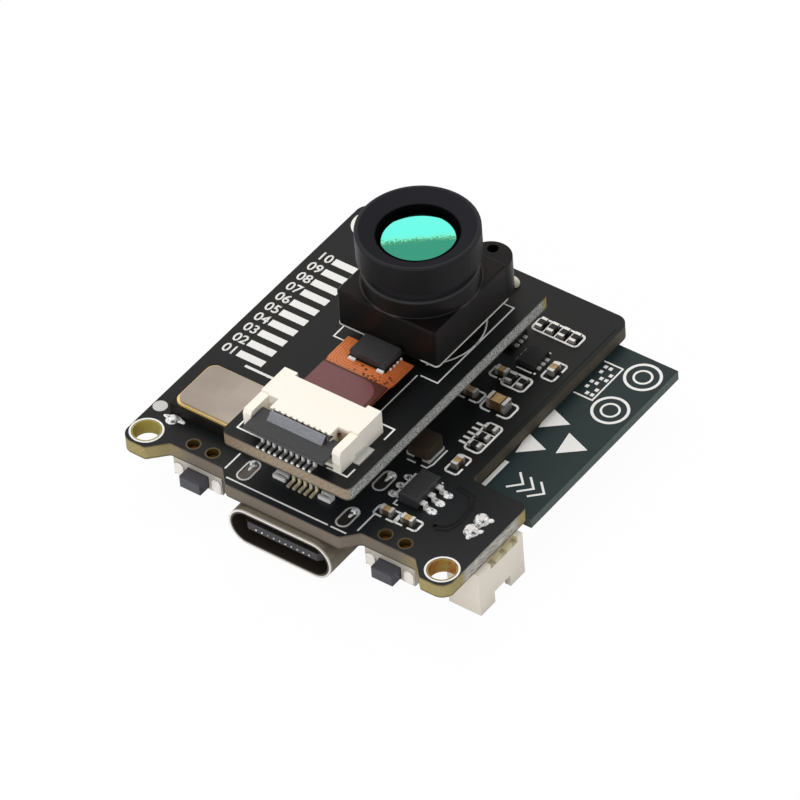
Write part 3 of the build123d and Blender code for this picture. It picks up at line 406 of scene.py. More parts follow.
class Sheet:
    """A flat piece that is drawn stroke by stroke in edit mode and then given its thickness."""

    def __init__(self, name, level):
        self.level = level
        self.piece = empty_piece(name)

    def bar(self, first, last, width, layer=0):
        """One straight stroke. Strokes that overlap need different layers, or their faces would coincide."""
        first, last = Vector(first), Vector(last)
        run = last - first
        middle = ((first + last) / 2).to_3d() * MM
        middle.z = (self.level + layer * LAYER_STEP) * MM
        bpy.ops.mesh.primitive_plane_add(size=MM, location=middle)
        bpy.ops.transform.resize(value=(run.length, width, 1), center_override=middle)
        spin(math.degrees(math.atan2(run.y, run.x)), middle)

    def path(self, points, width, layer=0):
        """Strokes from point to point, each half a width longer at both ends."""
        points = [Vector(point) for point in points]
        for i, (first, last) in enumerate(zip(points, points[1:])):
            over = (last - first).normalized() * width / 2
            self.bar(first - over, last + over, width, layer + i % 2)

    def arc(self, x, y, radius, start, end, width, steps=18):
        turns = [math.radians(start + (end - start) * i / steps) for i in range(steps + 1)]
        self.path([(x + radius * math.cos(t), y + radius * math.sin(t)) for t in turns], width)

    def frame(self, x, y, length, width, line, along="x", reach=None, share=0.25):
        """A frame with round corners. With a reach it is two halves, with bars as long as the reach."""
        bend = min(length, width) * share
        far, up = length / 2 - bend, width / 2 - bend
        bars = far if reach is None else reach
        turns = [math.radians(90 * i / 4) for i in range(5)]
        lower = [(far + bend * math.sin(t), -up - bend * math.cos(t)) for t in turns]
        upper = [(far + bend * math.cos(t), up + bend * math.sin(t)) for t in turns]
        strokes = [(far - bars, -width / 2)] + lower + upper + [(far - bars, width / 2)]
        for layer, side in enumerate((-1, 1)):
            if along == "x":
                self.path([(x + side * u, y + side * v) for u, v in strokes], line, layer)
            else:
                self.path([(x - side * v, y + side * u) for u, v in strokes], line, layer)

    def ring(self, x, y, radius, width, sides=40):
        self.spot(x, y, radius, sides)
        bpy.ops.mesh.inset(thickness=width * MM)
        bpy.ops.mesh.delete(type="FACE")

    def spot(self, x, y, radius, sides=16, turn=0):
        middle = Vector((x, y, self.level)) * MM
        bpy.ops.mesh.primitive_circle_add(vertices=sides, radius=radius * MM, fill_type="NGON",
                                          location=middle)
        spin(turn, middle)

    def words(self, text, x, y, size):
        """Text that ends at a point."""
        bpy.ops.object.mode_set(mode="OBJECT")
        select_none()
        bpy.ops.object.text_add(location=(x * MM, y * MM, self.level * MM))
        label = bpy.context.object
        label.data.body = text
        label.data.size = size * MM
        label.data.align_x = "RIGHT"
        label.data.align_y = "CENTER"
        label.data.offset = LETTER_SWELL * MM
        bpy.ops.object.convert(target="MESH")
        bpy.ops.object.transform_apply(location=True, rotation=True, scale=True)
        self.piece.select_set(True)
        bpy.context.view_layer.objects.active = self.piece
        bpy.ops.object.join()
        bpy.ops.object.mode_set(mode="EDIT")

    def close(self, thickness, body, slot, material):
        bpy.ops.object.mode_set(mode="OBJECT")
        if any(face.normal.z < 0.9 for face in self.piece.data.polygons):
            raise RuntimeError(self.piece.name + " has a face that does not look up")
        wall = self.piece.modifiers.new("Thickness", "SOLIDIFY")
        wall.thickness = thickness * MM
        wall.offset = 1.0
        bpy.ops.object.modifier_apply(modifier=wall.name)
        seat(self.piece, body, material)


def seat(piece, body, material):
    """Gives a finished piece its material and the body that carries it."""
    piece.data.materials.clear()
    piece.data.materials.append(material)
    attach(piece, body)


# Pieces


class MODULE_OT_boards(bpy.types.Operator):
    """Gives the three circuit boards their solder mask, glass-fibre edges and plated holes"""

    bl_idname = "module.boards"
    bl_label = "Boards"

    def execute(self, context):
        colours = context.scene.module_colours
        ear_bore = 1.08
        peg_bore = 0.5
        peg_holes = [(side * (8.39 + step), 0.68) for side in (-1, 1) for step in (-0.85, 0.85)]
        vias = [(-11.9, 25.6, 0.12), (-7.2, 24.2, 0.1), (-10.4, 22.9, 0.1), (8.2, 7.1, 0.14),
                (7.6, 24.9, 0.12), (4.4, 26.3, 0.1), (8.7, 22.6, 0.1), (10.6, 2.6, 0.1), (-4.9, 8.8, 0.1),
                (8.9, 5.0, 0.12)]
        f, flat, colour, sockets = board_finish("main_mask", tuple(colours.mask), vias)
        # painted sheen: the mask is made lighter towards the front and towards the right
        near = f.y.fall(12.0, 12.0) * f.x.rise(-10.0, 14.0)
        colour = f.mix(near * 0.8, colour, lighter(colours.mask, 3.0))
        # the cut edge is olive at the ears, grey brown between them, torn on the tab and dark at the notch
        layers = (f.noise(7.0, 4.0, 0.8, (1.0, 1.0, 5.0)) * 2 - 0.5).clamped()
        torn = f.noise(6.0, 5.0, 0.85, (1.0, 0.22, 2.5))
        olive_tone = f.mix(layers, "857848", "bdad78")
        middle = f.mix(layers, "6b6258", "84796c")
        pale = f.mix((torn * 5.0 - 2.0).clamped(), "6f6b63", "e2dfd8")
        dark = f.mix(layers, "37342e", "665f50")
        left = f.x < 0.0
        olive = abs(f.x).rise(9.0, 3.0) * f.mix(left, f.y.fall(9.0, 1.0), f.y.fall(22.0, 14.0))
        tab = f.x.rise(14.0, 0.1) * f.y.between(0.4, 7.4, 0.6)
        side = f.mix(olive, middle, olive_tone)
        side = f.mix(tab, side, pale)
        side = f.mix(f.mix(left, f.y.rise(8.6, 0.5), f.y.rise(4.0, 18.0)), side, dark)
        core = f.z.between(MAIN_UNDER + 0.1, MAIN_TOP - 0.1, 0.05)
        side = f.mix((1 - core) * 0.5, side, "26241f")
        colour = f.mix(flat, side, colour)
        rust = f.mix((f.noise(2.2, 3.0) * 4.0 - 1.6).clamped(), "a8682e", "a39448")
        for (x, y), wall in zip(EAR_HOLES, ("a8994c", rust)):
            colour = f.mix(f.disc(x, y, ear_bore), colour, wall)
        for x, y in peg_holes:
            colour = f.mix(f.disc(x, y, peg_bore + 0.06), colour, "5a5542")
            colour = f.mix(f.disc(x, y, peg_bore), colour, "51401c")
        dress(f.set(base_color=colour, **sockets), "main_board")

        vias = [(-4.4, 3.1, 0.1), (3.9, 7.9, 0.1), (-3.4, 10.2, 0.1), (-4.9, 0.8, 0.12)]
        f, flat, colour, sockets = board_finish("camera_mask", tuple(colours.mask), vias)
        fibres = f.noise(6.5, 5.0, 0.95, (1.0, 1.0, 1.6))
        specks = f.cells(6.0) < 0.26
        torn = f.mix((fibres * 8.0 - 3.6).clamped(), "3f403c", "dcdeda")
        torn = f.mix(specks * 0.6, torn, "f2f2ee")
        streaks = f.noise(6.0, 4.0, 0.8, (0.5, 1.0, 4.0))
        tan = f.mix((streaks * 3.4 - 1.2).clamped(), "5f5140", "bcab93")
        tan = f.mix(f.x.fall(-2.0, 3.0) * 0.5, tan, "62492f")
        olive = f.mix(fibres, "6f6a35", "b5ad6a")
        right = f.mix(f.y.rise(22.3, 0.6), torn, olive)
        corner = (abs(f.facing[1]) * 1.6 - 0.3).clamped()
        side = f.mix(corner, right, f.mix(f.y.rise(12.0, 1.0), tan, olive))
        core = f.z.between(CAMERA_UNDER + 0.1, CAMERA_TOP - 0.1, 0.05)
        side = f.mix((1 - core) * 0.6, side, "2a2924")
        dress(f.set(base_color=f.mix(flat, side, colour), **sockets), "camera_board")

        f, flat, colour, sockets = board_finish("radio_mask", tuple(colours.slate))
        layers = f.noise(5.0, 4.0, 0.75, (1.0, 1.0, 4.0))
        side = f.mix((layers * 1.8 - 0.4).clamped(), "3d4843", "616e69")
        dress(f.set(base_color=f.mix(flat, side, colour), **sockets), "radio_board")
        return DONE


class MODULE_OT_main_print(bpy.types.Operator):
    """Prints the pin bars, plain pin numbers, hole rings and component frames on the main board"""

    bl_idname = "module.main_print"
    bl_label = "Main board print"

    def execute(self, context):
        sizes = context.scene.module_sizes
        line = sizes.line_width
        bold = line * 1.25
        sheet = Sheet("main_board_print", MAIN_TOP)
        left_end, right_end = -12.28, -10.0
        for y in PIN_ROWS:
            sheet.bar((left_end, y), (right_end, y), 0.66)
        for x, y in EAR_HOLES:
            sheet.ring(x, y, 1.27, 0.15, 48)
        # the lens head hides most of this ring at the far left corner in the photograph
        sheet.ring(-12.3, 26.05, 1.55, 0.6, 48)
        # the front socket's outline, and the stroke between the oscillator and the pin bars
        sheet.bar((-5.25, -0.75), (3.6, -0.75), line)
        sheet.bar((3.85, -0.75), (5.2, -0.75), line)
        sheet.bar((-5.87, -0.1), (-5.87, 1.7), line)
        sheet.bar((5.7, -0.1), (5.7, 1.95), line)
        sheet.bar((-11.05, 9.1), (-7.4, 9.1), line * 1.8)
        # frames around the capacitors
        for x, y in ((6.45, 2.43), (8.2, 2.49)):
            sheet.frame(x, y, 1.9, 1.0, bold, "x", 0.42)
        for x, y in ((7.7, 9.05), (7.85, 20.45)):
            sheet.frame(x, y, 1.9, 1.05, bold, "y", 0.42)
        sheet.frame(6.7, 15.38, 2.5, 1.5, bold, "x", 0.5)
        sheet.frame(4.25, 15.4, 1.9, 1.1, bold, "x", 0.42)
        sheet.frame(4.9, 18.3, 1.7, 1.1, bold, "x", 0.4)
        # frames around the resistor rows, with a stroke between neighbours
        for x, y, length, width, cells in ((5.76, 23.95, 3.9, 1.3, 4), (6.24, 18.15, 1.95, 1.45, 2)):
            sheet.frame(x, y, length, width, bold)
            for i in range(1, cells):
                between = x - length / 2 + length * i / cells
                sheet.bar((between, y - width / 2), (between, y + width / 2), line * 0.8, 3)
        sheet.frame(7.62, 12.2, 3.05, 1.3, bold, "y")
        for y in (11.68, 12.7):
            sheet.bar((6.97, y), (8.27, y), line * 0.8, 3)
        for i in range(5):
            y = 11.1 + i * 0.53
            sheet.bar((6.3, y), (6.85, y), 0.2)
        # corners of the coil, the regulator and the flat chip
        sheet.path([(5.6, 7.6), (6.05, 7.6), (6.22, 8.1), (6.22, 9.75)], line)
        sheet.path([(4.4, 7.6), (5.0, 7.6)], line)
        sheet.path([(6.5, 3.45), (6.2, 3.45), (6.2, 3.85)], line)
        sheet.path([(6.7, 6.95), (7.9, 6.95)], line)
        sheet.spot(6.82, 19.52, 0.1)
        sheet.bar((5.3, 19.45), (6.6, 19.45), line)
        sheet.bar((5.3, 21.85), (6.6, 21.85), line)
        for number, y in enumerate(PIN_ROWS, 1):
            sheet.words(f"{number:02d}", left_end - 0.14, y, sizes.label_size)
        sheet.close(sizes.print_height, "module", "switch_plastic", ink_finish())
        return DONE


class MODULE_OT_camera_print(bpy.types.Operator):
    """Prints the connector corners, the camera's frame and its circle on the camera board"""

    bl_idname = "module.camera_print"
    bl_label = "Camera board print"

    def execute(self, context):
        sizes = context.scene.module_sizes
        line = sizes.line_width
        sheet = Sheet("camera_board_print", CAMERA_TOP)
        sheet.path([(-4.8, 1.3), (-4.8, 0.43), (-2.75, 0.43)], line)
        sheet.path([(4.65, 1.4), (4.65, 0.55), (2.95, 0.55)], line)
        sheet.path([(4.6, 5.0), (4.6, 6.16), (3.55, 6.16)], line)
        sheet.path([(-4.8, 4.2), (-4.8, 6.16), (-3.7, 6.16)], line)
        sheet.bar((2.68, 7.1), (2.68, 11.5), line * 0.8)
        sheet.bar((-2.9, 7.1), (-2.9, 9.2), line * 0.8)
        # the camera's frame, and the two arcs that cross it
        near, far, radius = 11.6, 20.8, 4.42
        sheet.path([(2.95, near), (4.35, near), (4.35, far), (3.2, far)], line * 0.9)
        sheet.path([(-3.75, near), (-4.7, near), (-4.7, far), (-3.6, far)], line * 0.9)
        for start in (-52, 128):
            sheet.arc(-0.12, (near + far) / 2, radius, start, start + 104, line * 0.9)
        sheet.close(sizes.print_height, "module", "switch_plastic", ink_finish())
        return DONE


class MODULE_OT_radio_print(bpy.types.Operator):
    """Puts plain printed fields and rings on the radio board's bare end"""

    bl_idname = "module.radio_print"
    bl_label = "Radio board print"

    def execute(self, context):
        sizes = context.scene.module_sizes
        line = sizes.line_width
        sheet = Sheet("radio_board_print", RADIO_TOP)
        for y in (24.38, 20.34):
            sheet.ring(12.72, y, 1.42, 0.22)
            sheet.ring(12.72, y, 0.75, 0.17, 28)
        # a framed field of dots, with gaps in it
        sheet.path([(9.5, 20.5), (11.05, 20.5), (11.05, 24.3), (9.5, 24.3)], line)
        for row in range(6):
            for column in range(3):
                if (row * 2 + column) % 3:
                    x, y = 9.75 + column * 0.42, 20.95 + row * 0.58
                    sheet.bar((x, y), (x + 0.27, y), 0.3)
        # a plain block, three triangles and three chevrons
        sheet.bar((9.6, 12.2), (9.6, 9.15), 0.36)
        for x, y, size in ((10.0, 14.4, 1.25), (9.9, 17.4, 1.3), (12.45, 15.9, 1.3)):
            sheet.spot(x, y, size, 3, 40)
        for x in (11.1, 12.0, 12.9):
            sheet.path([(x, 10.1), (x + 0.8, 10.9), (x, 11.7)], line * 1.3)
        sheet.close(sizes.print_height, "module", "switch_plastic", ink_finish())
        return DONE


class MODULE_OT_camera_parts(bpy.types.Operator):
    """Finishes the lens, its holder, the flex and what lies on it"""

    bl_idname = "module.camera_parts"
    bl_label = "Camera and flex"

    def execute(self, context):
        f = Finish("holder_black")
        grain = f.noise(8.0, 3.0, 0.6)
        warm = f.noise(0.7, 2.0)
        away = f.away(LENS_MIDDLE.x, LENS_MIDDLE.y)
        top = corners("lens_holder")[1].z
        # painted highlights: a thin pale ring round the collar's foot and a pale band at the holder's top
        painted_foot_highlight = away.between(COLLAR_RADIUS + 0.02, COLLAR_RADIUS + 0.14) * (f.facing[2] > 0.5)
        painted_lip_highlight = f.z.rise(top - 0.14, 0.06) + painted_foot_highlight
        black = f.mix(grain, "0f0e0f", "161517")
        black = f.mix((warm * 3.0 - 1.2).clamped(), black, "1c1413")
        dress(f.set(
            base_color=f.mix(painted_lip_highlight.clamped() * 0.7, black, "4a4a4c"),
            specular_ior_level=0.18,
            **f.rough(grain, 0.4, 0.12, edge=0.08),
        ), "lens_holder")
        f = Finish("barrel_black")
        away = f.away(LENS_MIDDLE.x, LENS_MIDDLE.y)
        turned = (away * 60.0).sine() * 0.5 + 0.5
        grain = f.noise(14.0, 3.0)
        inner = away.fall(3.1, 0.12)
        bevel = away.fall(HEAD_RADIUS - 0.25, 0.1)
        # painted highlight: a thin pale line along the head's outer top edge
        painted_rim_highlight = f.z.rise(LENS_EDGE - 0.09, 0.05) * away.rise(HEAD_RADIUS - 0.1, 0.05)
        black = f.mix(grain, "121214", "19191c")
        # painted light: the bevel and the faces that look up are painted lighter than the sides
        painted_lit_crown = bevel.larger(f.facing[2].rise(0.7, 0.2))
        black = f.mix(painted_lit_crown, black, f.mix(grain, "252528", "2c2c30"))
        black = f.mix(inner, black, "060607")
        black = f.mix(painted_rim_highlight * 0.7, black, "4b4b4e")
        # painted highlight: a pale streak along the side of the head that is on the left in the photograph
        leftward = (LENS_MIDDLE.x - f.x) * 0.79 + (LENS_MIDDLE.y - f.y) * 0.61
        painted_glance = (leftward / HEAD_RADIUS).rise(0.9, 0.1) * (f.z < LENS_EDGE - 0.1)
        dress(f.set(
            base_color=f.mix(painted_glance * 0.5, black, "7a7a7d"),
            roughness=0.5 + (grain - 0.5) * 0.12,
            specular_ior_level=0.0,
            coat_weight=(1 - bevel) * 0.36,
            coat_roughness=0.4,
            normal=f.bump(grain * 0.5 + turned * 0.15, 0.15, 0.01, f.soft_edges(0.06)),
        ), "lens_barrel")
        f = Finish("coated_lens")
        smear = f.noise(0.5, 2.0)
        dress(f.set(
            base_color=f.mix(smear * 0.12, tuple(context.scene.module_colours.coating), "7fffdc"),
            metallic=1.0,
            roughness=smear * 0.012,
        ), "front_lens")
        dress(grained("inner_glass", "20302f", "2a3c3a", 0.06, 0, 2.0, coat=0.5), "inner_lens")
        dress(grained("filter_glass", "4a2a30", "55303a", 0.05, 0, 2.0, coat=0.5), "ir_filter")
        dress(grained("sensor_face", "1a2030", "2a3145", 0.2, 0, 3.0), "image_sensor")
        dress(grained("foam", "121212", "1d1d1d", 0.8, 0, 12.0, depth=0.05), "holder_pad")
        # copper under a clear film, with fine tracks that turn outwards past the chip
        f = Finish("copper_flex")
        out = abs(f.x + 0.1)
        past_x = (out - 1.5).larger(0.0)
        past_y = (abs(f.y - 10.3) - 1.1).larger(0.0)
        lanes = (distance(past_x, past_y) * 30.0).sine() * 0.5 + 0.5
        grain = f.noise(7.0, 4.0, 0.7)
        dots = (f.cells(3.2) < 0.36) * f.y.between(6.5, 9.3) * f.x.rise(-1.1, 0.8)
        warm = f.mix((grain * 1.3 - 0.15).clamped(), "93400f", "e07c3c")
        lined = f.mix((lanes * 3 - 1.6).clamped() * 0.5, warm, "e8935c")
        edge = f.x.rise(0.9, 1.6)
        lined = f.mix(edge * 0.55, lined, "7c2f12")
        tail = f.mix(dots * 0.9, lined, "4f1d0a")
        # the square that carries the sensor is pale, with painted shade beside the tail
        shaded = f.x.between(0.6, 2.9, 0.2)
        square = f.mix(shaded * (f.y < 12.4), "d9d7d2", "1d1613")
        dress(f.set(
            base_color=f.mix(f.y > 11.6, tail, square),
            roughness=0.38 + (grain - 0.5) * 0.2,
            coat_weight=0.2,
            normal=f.bump(lanes * 0.5 + grain * 0.5, 0.3, 0.01),
        ), "camera_flex")
        f = Finish("stiffener_film")
        grain = f.noise(5.0, 3.0)
        # the upper film ends in a round corner; the darker layer under it shows beyond
        round_x, round_y = (f.x - 0.9).larger(0.0), (f.y - 6.6).larger(0.0)
        beyond = distance(round_x, round_y).rise(1.35, 0.04)
        side = f.x.rise(2.25, 0.04)
        dress(f.set(
            base_color=f.mix(beyond.larger(side), f.mix(grain, "673b3d", "784647"), "4c231c"),
            coat_weight=0.15,
            **f.rough(grain, 0.3, 0.08, 0.1),
        ), "flex_stiffener")
        f = Finish("chip_resin")
        grain = f.noise(10.0, 4.0, 0.7)
        rubbed = f.noise(3.5, 2.0).between(0.52, 0.7, 0.08) * f.x.between(-0.6, 0.9, 0.2)
        dress(f.set(
            base_color=f.mix(rubbed * 0.35, f.mix(grain, "2b2b2c", "3a3a3b"), "444445"),
            **f.rough(grain, 0.5, 0.2, 0.3, edge=0.03),
        ), "flex_chip")
        dress(grained("underfill", "0b0b0c", "121213", 0.16, 0.04, 4.0), "flex_underfill")
        return DONE


class MODULE_OT_connector(bpy.types.Operator):
    """Finishes the flat-flex connector, its latch, contacts and tabs"""

    bl_idname = "module.connector"
    bl_label = "Flat-flex connector"

    def execute(self, context):
        f = Finish("cream_moulding")
        grain = f.noise(5.0, 3.0, 0.6)
        # painted shade: brown in the low parts of the two notches
        painted_notch_shade = f.disc(-3.7, 3.6, 0.8, 0.4).larger(f.disc(2.9, 3.2, 0.9, 0.4))
        deep = f.z.fall(corners("flex_conn_housing")[1].z - 0.1, 0.3)
        dress(f.set(
            base_color=f.mix(painted_notch_shade * deep * 0.75, f.mix(grain, "fbf4e6", "fff9ee"), "8a6a3a"),
            **f.rough(grain, 0.4, 0.12, depth=0.006, edge=0.05),
        ), "flex_conn_housing")
        f = Finish("latch_grey")
        grain = f.noise(9.0, 4.0, 0.75)
        # the sloped ridge is paler: partly scratches, partly a painted highlight where its face catches the
        # light
        ridge = f.x.between(-2.5, 2.3, 0.04) * f.y.rise(0.9, 0.04)
        scratched_and_lit = f.mix((grain * 2.2 - 0.6).clamped(), "6f7177", "989aa1")
        dress(f.set(
            base_color=f.mix(ridge, f.mix(grain, "39393b", "434345"), scratched_and_lit),
            specular_ior_level=0.35,
            **f.rough(grain, 0.45, 0.2, 0.3, 0.012, 0.04),
        ), "flex_conn_latch")
        dress(grained("tinned", "f2f0ec", "ffffff", 0.22, 0.03, 8.0, 0.4), "regulator_leads",
              "inductor_ends", "wire_pins")
        f = Finish("tail_tin")
        grain = f.noise(8.0, 3.0, 0.6)
        # painted shade: a dark band across the tails just in front of the latch
        painted_tail_shade = f.y.between(-0.42, 0.08, 0.06)
        dress(f.set(
            base_color=f.mix(painted_tail_shade * 0.7, f.mix(grain, "eceae6", "ffffff"), "4d4a46"),
            metallic=0.25,
            roughness=0.25 + (grain - 0.5) * 0.12,
        ), "flex_conn_contacts")
        f = Finish("end_tin")
        grain = f.noise(1.6, 2.0, 0.5)
        # painted light: faces that look up are pale, the sides grey
        painted_lit_top = f.facing[2].rise(0.2, 0.5)
        coat = f.mix(painted_lit_top, f.mix(grain, "5b5752", "a9a5a0"), "f4f2ee")
        # the ceramic of the large capacitor shows through its thin end coats
        bare = f.x.between(6.14, 7.26) * f.y.between(14.88, 15.88)
        dress(f.set(
            base_color=f.mix(bare, coat, "7a5c3b"),
            metallic=0.35,
            **f.rough(grain, 0.28, 0.2, 0.3, 0.02, 0.05),
        ), "capacitor_ends", "resistor_ends")
        dress(grained("bracket_tin", "f2f1ee", "ffffff", 0.35, 0.03), "pair_brackets")
        dress(grained("leg_solder", "2b2825", "6f6a64", 0.12, 0.05, 2.5, 0.6, depth=0.03), "usb_solder")
        dress(grained("pad_tin", "c4c4c1", "dcdcd9", 0.4, 0.05, 5.0, 0.4), "test_pad",
              "flex_conn_tabs", "flat_chip_pads")
        dress(solder_finish(), "solder_beads")
        return DONE


class MODULE_OT_sockets(bpy.types.Operator):
    """Finishes the USB-C receptacle, the side switches, the wire socket and the board pair"""

    bl_idname = "module.sockets"
    bl_label = "Sockets and switches"

    def execute(self, context):
        f = Finish("usb_steel")
        grain = f.noise(5.0, 3.0, 0.6)
        drawn = f.noise(3.0, 2.0, 0.5, (6.0, 0.6, 6.0))
        # painted highlight: a pale line along the front rim of the mouth
        painted_rim_highlight = f.y.fall(-1.72, 0.05)
        base = f.mix((grain * 0.5 + drawn * 0.5).clamped(), "8d8374", "a89e8d")
        # painted shade: the interior of the mouth is darkened; it lies nearer to the flat middle plane of the
        # mouth than the sheet's own middle
        round_x = (abs(f.x) - (USB_WIDTH - USB_HEIGHT) / 2).larger(0.0)
        depth = distance(round_x, f.z - (MAIN_UNDER - 0.05 - USB_HEIGHT / 2))
        painted_mouth_shade = depth.fall(USB_HEIGHT / 2 - 0.15, 0.03)
        base = f.mix(painted_mouth_shade, base, "4d463f")
        painted_rim_highlight = painted_rim_highlight * depth.rise(USB_HEIGHT / 2 - 0.17, 0.03)
        dress(f.set(
            base_color=f.mix(painted_rim_highlight, base, "f2efe8"),
            metallic=0.6,
            **f.rough(drawn, 0.32, 0.15, 0.15, edge=0.05),
        ), "usb_shell")
        dress(grained("usb_black", "303033", "3e3e41", 0.45, 0.03), "usb_insulator")
        dress(grained("gold", "ecc472", "fbe4a2", 0.3, 0.0, 8.0, 0.35), "osc_ring")
        # painted shade: the contacts are painted dark gold, as they lie in shade in the mouth
        dress(grained("shaded_gold", "57482c", "75623e", 0.35, 0.0, 8.0, 0.8), "usb_contacts")
        dress(grained("pale_gold", "f0e0b0", "fffae8", 0.22, 0.02, 8.0, 0.35), "pair_socket_contacts",
              "pair_plug_contacts")
        f = Finish("switch_moulding")
        grain = f.noise(6.0, 3.0, 0.6)
        # the locating pegs' ends sit deep in the board's holes and get painted shade in dark brown
        painted_peg_shade = f.z.rise(-1.15, 0.1)
        dress(f.set(
            base_color=f.mix(painted_peg_shade, f.mix(grain, "d9d7d2", "e6e4df"), "6b3f1a"),
            **f.rough(grain, 0.5, 0.12, edge=0.04),
        ), "left_switch_body", "right_switch_body")
        f = Finish("switch_steel")
        grain = f.noise(6.0, 3.0, 0.6)
        tabs = f.y.fall(corners("left_switch_cover")[0].y + 0.07, 0.02)
        plain = f.mix(grain, "b9b4aa", "cdc8be")
        dress(f.set(
            base_color=f.mix(tabs, plain, "fff8f2"),
            metallic=0.2,
            **f.rough(grain, 0.35, 0.12, edge=0.04),
        ), "left_switch_cover", "right_switch_cover")
        dress(grained("plunger_grey", "3f4047", "4a4b52", 0.42, 0.06, 7.0), "left_switch_plunger",
              "right_switch_plunger")
        f = Finish("ivory_moulding")
        grain = f.noise(4.0, 3.0, 0.6)
        # painted shade: a dull olive band over the housing's notches
        painted_band_shade = f.z.between(-1.68, -1.0, 0.06) * f.y.between(3.1, 6.4, 0.1)
        dress(f.set(
            base_color=f.mix(painted_band_shade * 0.7, f.mix(grain, "efe6d8", "f7efe2"), "b3a76c"),
            **f.rough(grain, 0.4, 0.12, depth=0.006, edge=0.06),
        ), "wire_housing")
        dress(grained("pair_black", "101011", "1a1a1b", 0.5, 0.04, shine=0.3), "pair_socket",
              "pair_plug")
        dress(grained("can_metal", "a9a9a5", "bdbdb8", 0.32, 0.0, 3.0, 0.9), "radio_shield")
        return DONE


class MODULE_OT_solder(bpy.types.Operator):
    """Melts the solder joints, contact tips and glue spot, and adds the slot rims and chip pads"""

    bl_idname = "module.solder"
    bl_label = "Solder"

    def execute(self, context):
        high = context.scene.module_sizes.solder_height
        joints = Blobs("solder_joints")
        low, top = corners("regulator_leads")
        for i in range(3):
            y = low.y + 0.2 + i * (top.y - low.y - 0.4) / 2
            for end, out in ((low.x, -1), (top.x, 1)):
                joints.ball(end + out * 0.1, y, 0, 0.9, 0.66, 1.6 * high)
                joints.ball(end - out * 0.15, y, 0.05, 0.5, 0.44, 2.6 * high)
        # three lobes run from each wire pin
        low, top = corners("wire_pins")
        x = (low.x + top.x) / 2 + 0.1
        for y in (low.y + 0.25, top.y - 0.25):
            joints.ball(x, y, 0, 0.85, 0.85, 3 * high)
            for turn, reach in ((35, 0.5), (165, 0.45), (275, 0.5)):
                out = math.radians(turn)
                lobe = x + reach * math.cos(out), y + reach * math.sin(out)
                joints.ball(*lobe, 0, 0.62, 0.42, 2.2 * high, turn)
        # a flat splash beside the oscillator, with an arm that ends in a drop
        x, y = -11.95, 2.2
        joints.ball(x, y - 0.2, 0, 1.9, 0.5, 0.3 * high, 4)
        joints.ball(x + 0.3, y - 0.05, 0, 1.4, 0.4, 0.3 * high, -22)
        joints.ball(x - 0.15, y + 0.25, 0, 1.2, 0.5, 0.3 * high, 115)
        joints.ball(x - 0.38, y + 0.8, 0, 0.45, 0.45, 0.9 * high)
        # the ends of the socket's legs
        for x, y in LEG_SLOTS:
            side = math.copysign(1, x)
            joints.ball(x + side * 0.1, y + 0.75, 0, 0.66, 0.62, 3.5 * high)
            joints.ball(x + side * 0.05, y + 0.35, -0.05, 0.3, 0.7, 2 * high)
        joints.close(0.035, "module", "solder", solder_finish())

        rims = Sheet("slot_rims", MAIN_TOP)
        for x, y in LEG_SLOTS:
            rims.frame(x, y, 2.05, 1.02, 0.13, "y", share=0.49)
        rims.close(0.03, "module", "tin", grained("rim_tin", "cfccc6", "f2f0ec", 0.3, 0.03, 5.0, 0.2))

        pads = Sheet("chip_pads", FLEX_TOP)
        front = corners("flex_chip")[0].y
        for x in (-1.3, 1.15):
            pads.bar((x - 0.28, front - 0.2), (x + 0.28, front - 0.2), 0.22)
        for i in range(4):
            y = front + 0.35 + i * 0.42
            pads.bar((1.6, y), (1.72, y), 0.14)
        pads.close(0.14, "module", "solder",
                   grained("pad_silver", "e2e0dc", "ffffff", 0.3, 0.0, 6.0, 0.1))

        tips = Blobs("contact_tips")
        tongue = corners("usb_contacts")[0].z
        for i in range(10):
            tips.ball(-2.27 + i * 0.515, -1.57, tongue + 0.3, 0.16, 0.14, 0.16)
        tips.close(0.02, "module", "gold", solder_finish())

        glue = Blobs("glue_spot")
        glue.ball(2.85, 22.85, CAMERA_TOP + 0.15, 1.0, 0.8, 1.0)
        glue.ball(2.7, 22.6, CAMERA_TOP + 0.5, 0.6, 0.6, 0.9)
        glue.close(0.04, "module", "cream_plastic", grained("glue", "d8d0b4", "ece6d2", 0.3, 0.0, 3.0))
        return DONE


class MODULE_OT_relief(bpy.types.Operator):
    """Raises the tracks that show through the solder mask of the main board's tab"""

    bl_idname = "module.relief"
    bl_label = "Raised tracks"

    def execute(self, context):
        black = tuple(context.scene.module_colours.mask)
        f = Finish("track_mask")
        grain = f.noise(9.0, 3.0, 0.7)
        f.set(base_color=f.mix(grain, black, lighter(black, 1.6)), specular_ior_level=0.3,
              **f.rough(grain, 0.35, 0.1, 0.2, edge=0.03))
        tracks = Sheet("raised_tracks", MAIN_TOP)
        for shift in (0.0, 0.28):
            tracks.path([(9.9 + shift, 3.2 - shift), (10.7 + shift, 3.6 - shift), (11.0 + shift, 4.4),
                         (10.9 + shift, 6.0), (10.3 + shift, 6.8 + shift), (9.0, 7.1 + shift)], 0.16)
        tracks.spot(9.9, 3.2, 0.2)
        tracks.path([(8.95, 10.5), (8.95, 26.4), (8.1, 27.3)], 0.1)
        tracks.close(0.03, "module", "mask_black", f.material)
        return DONE


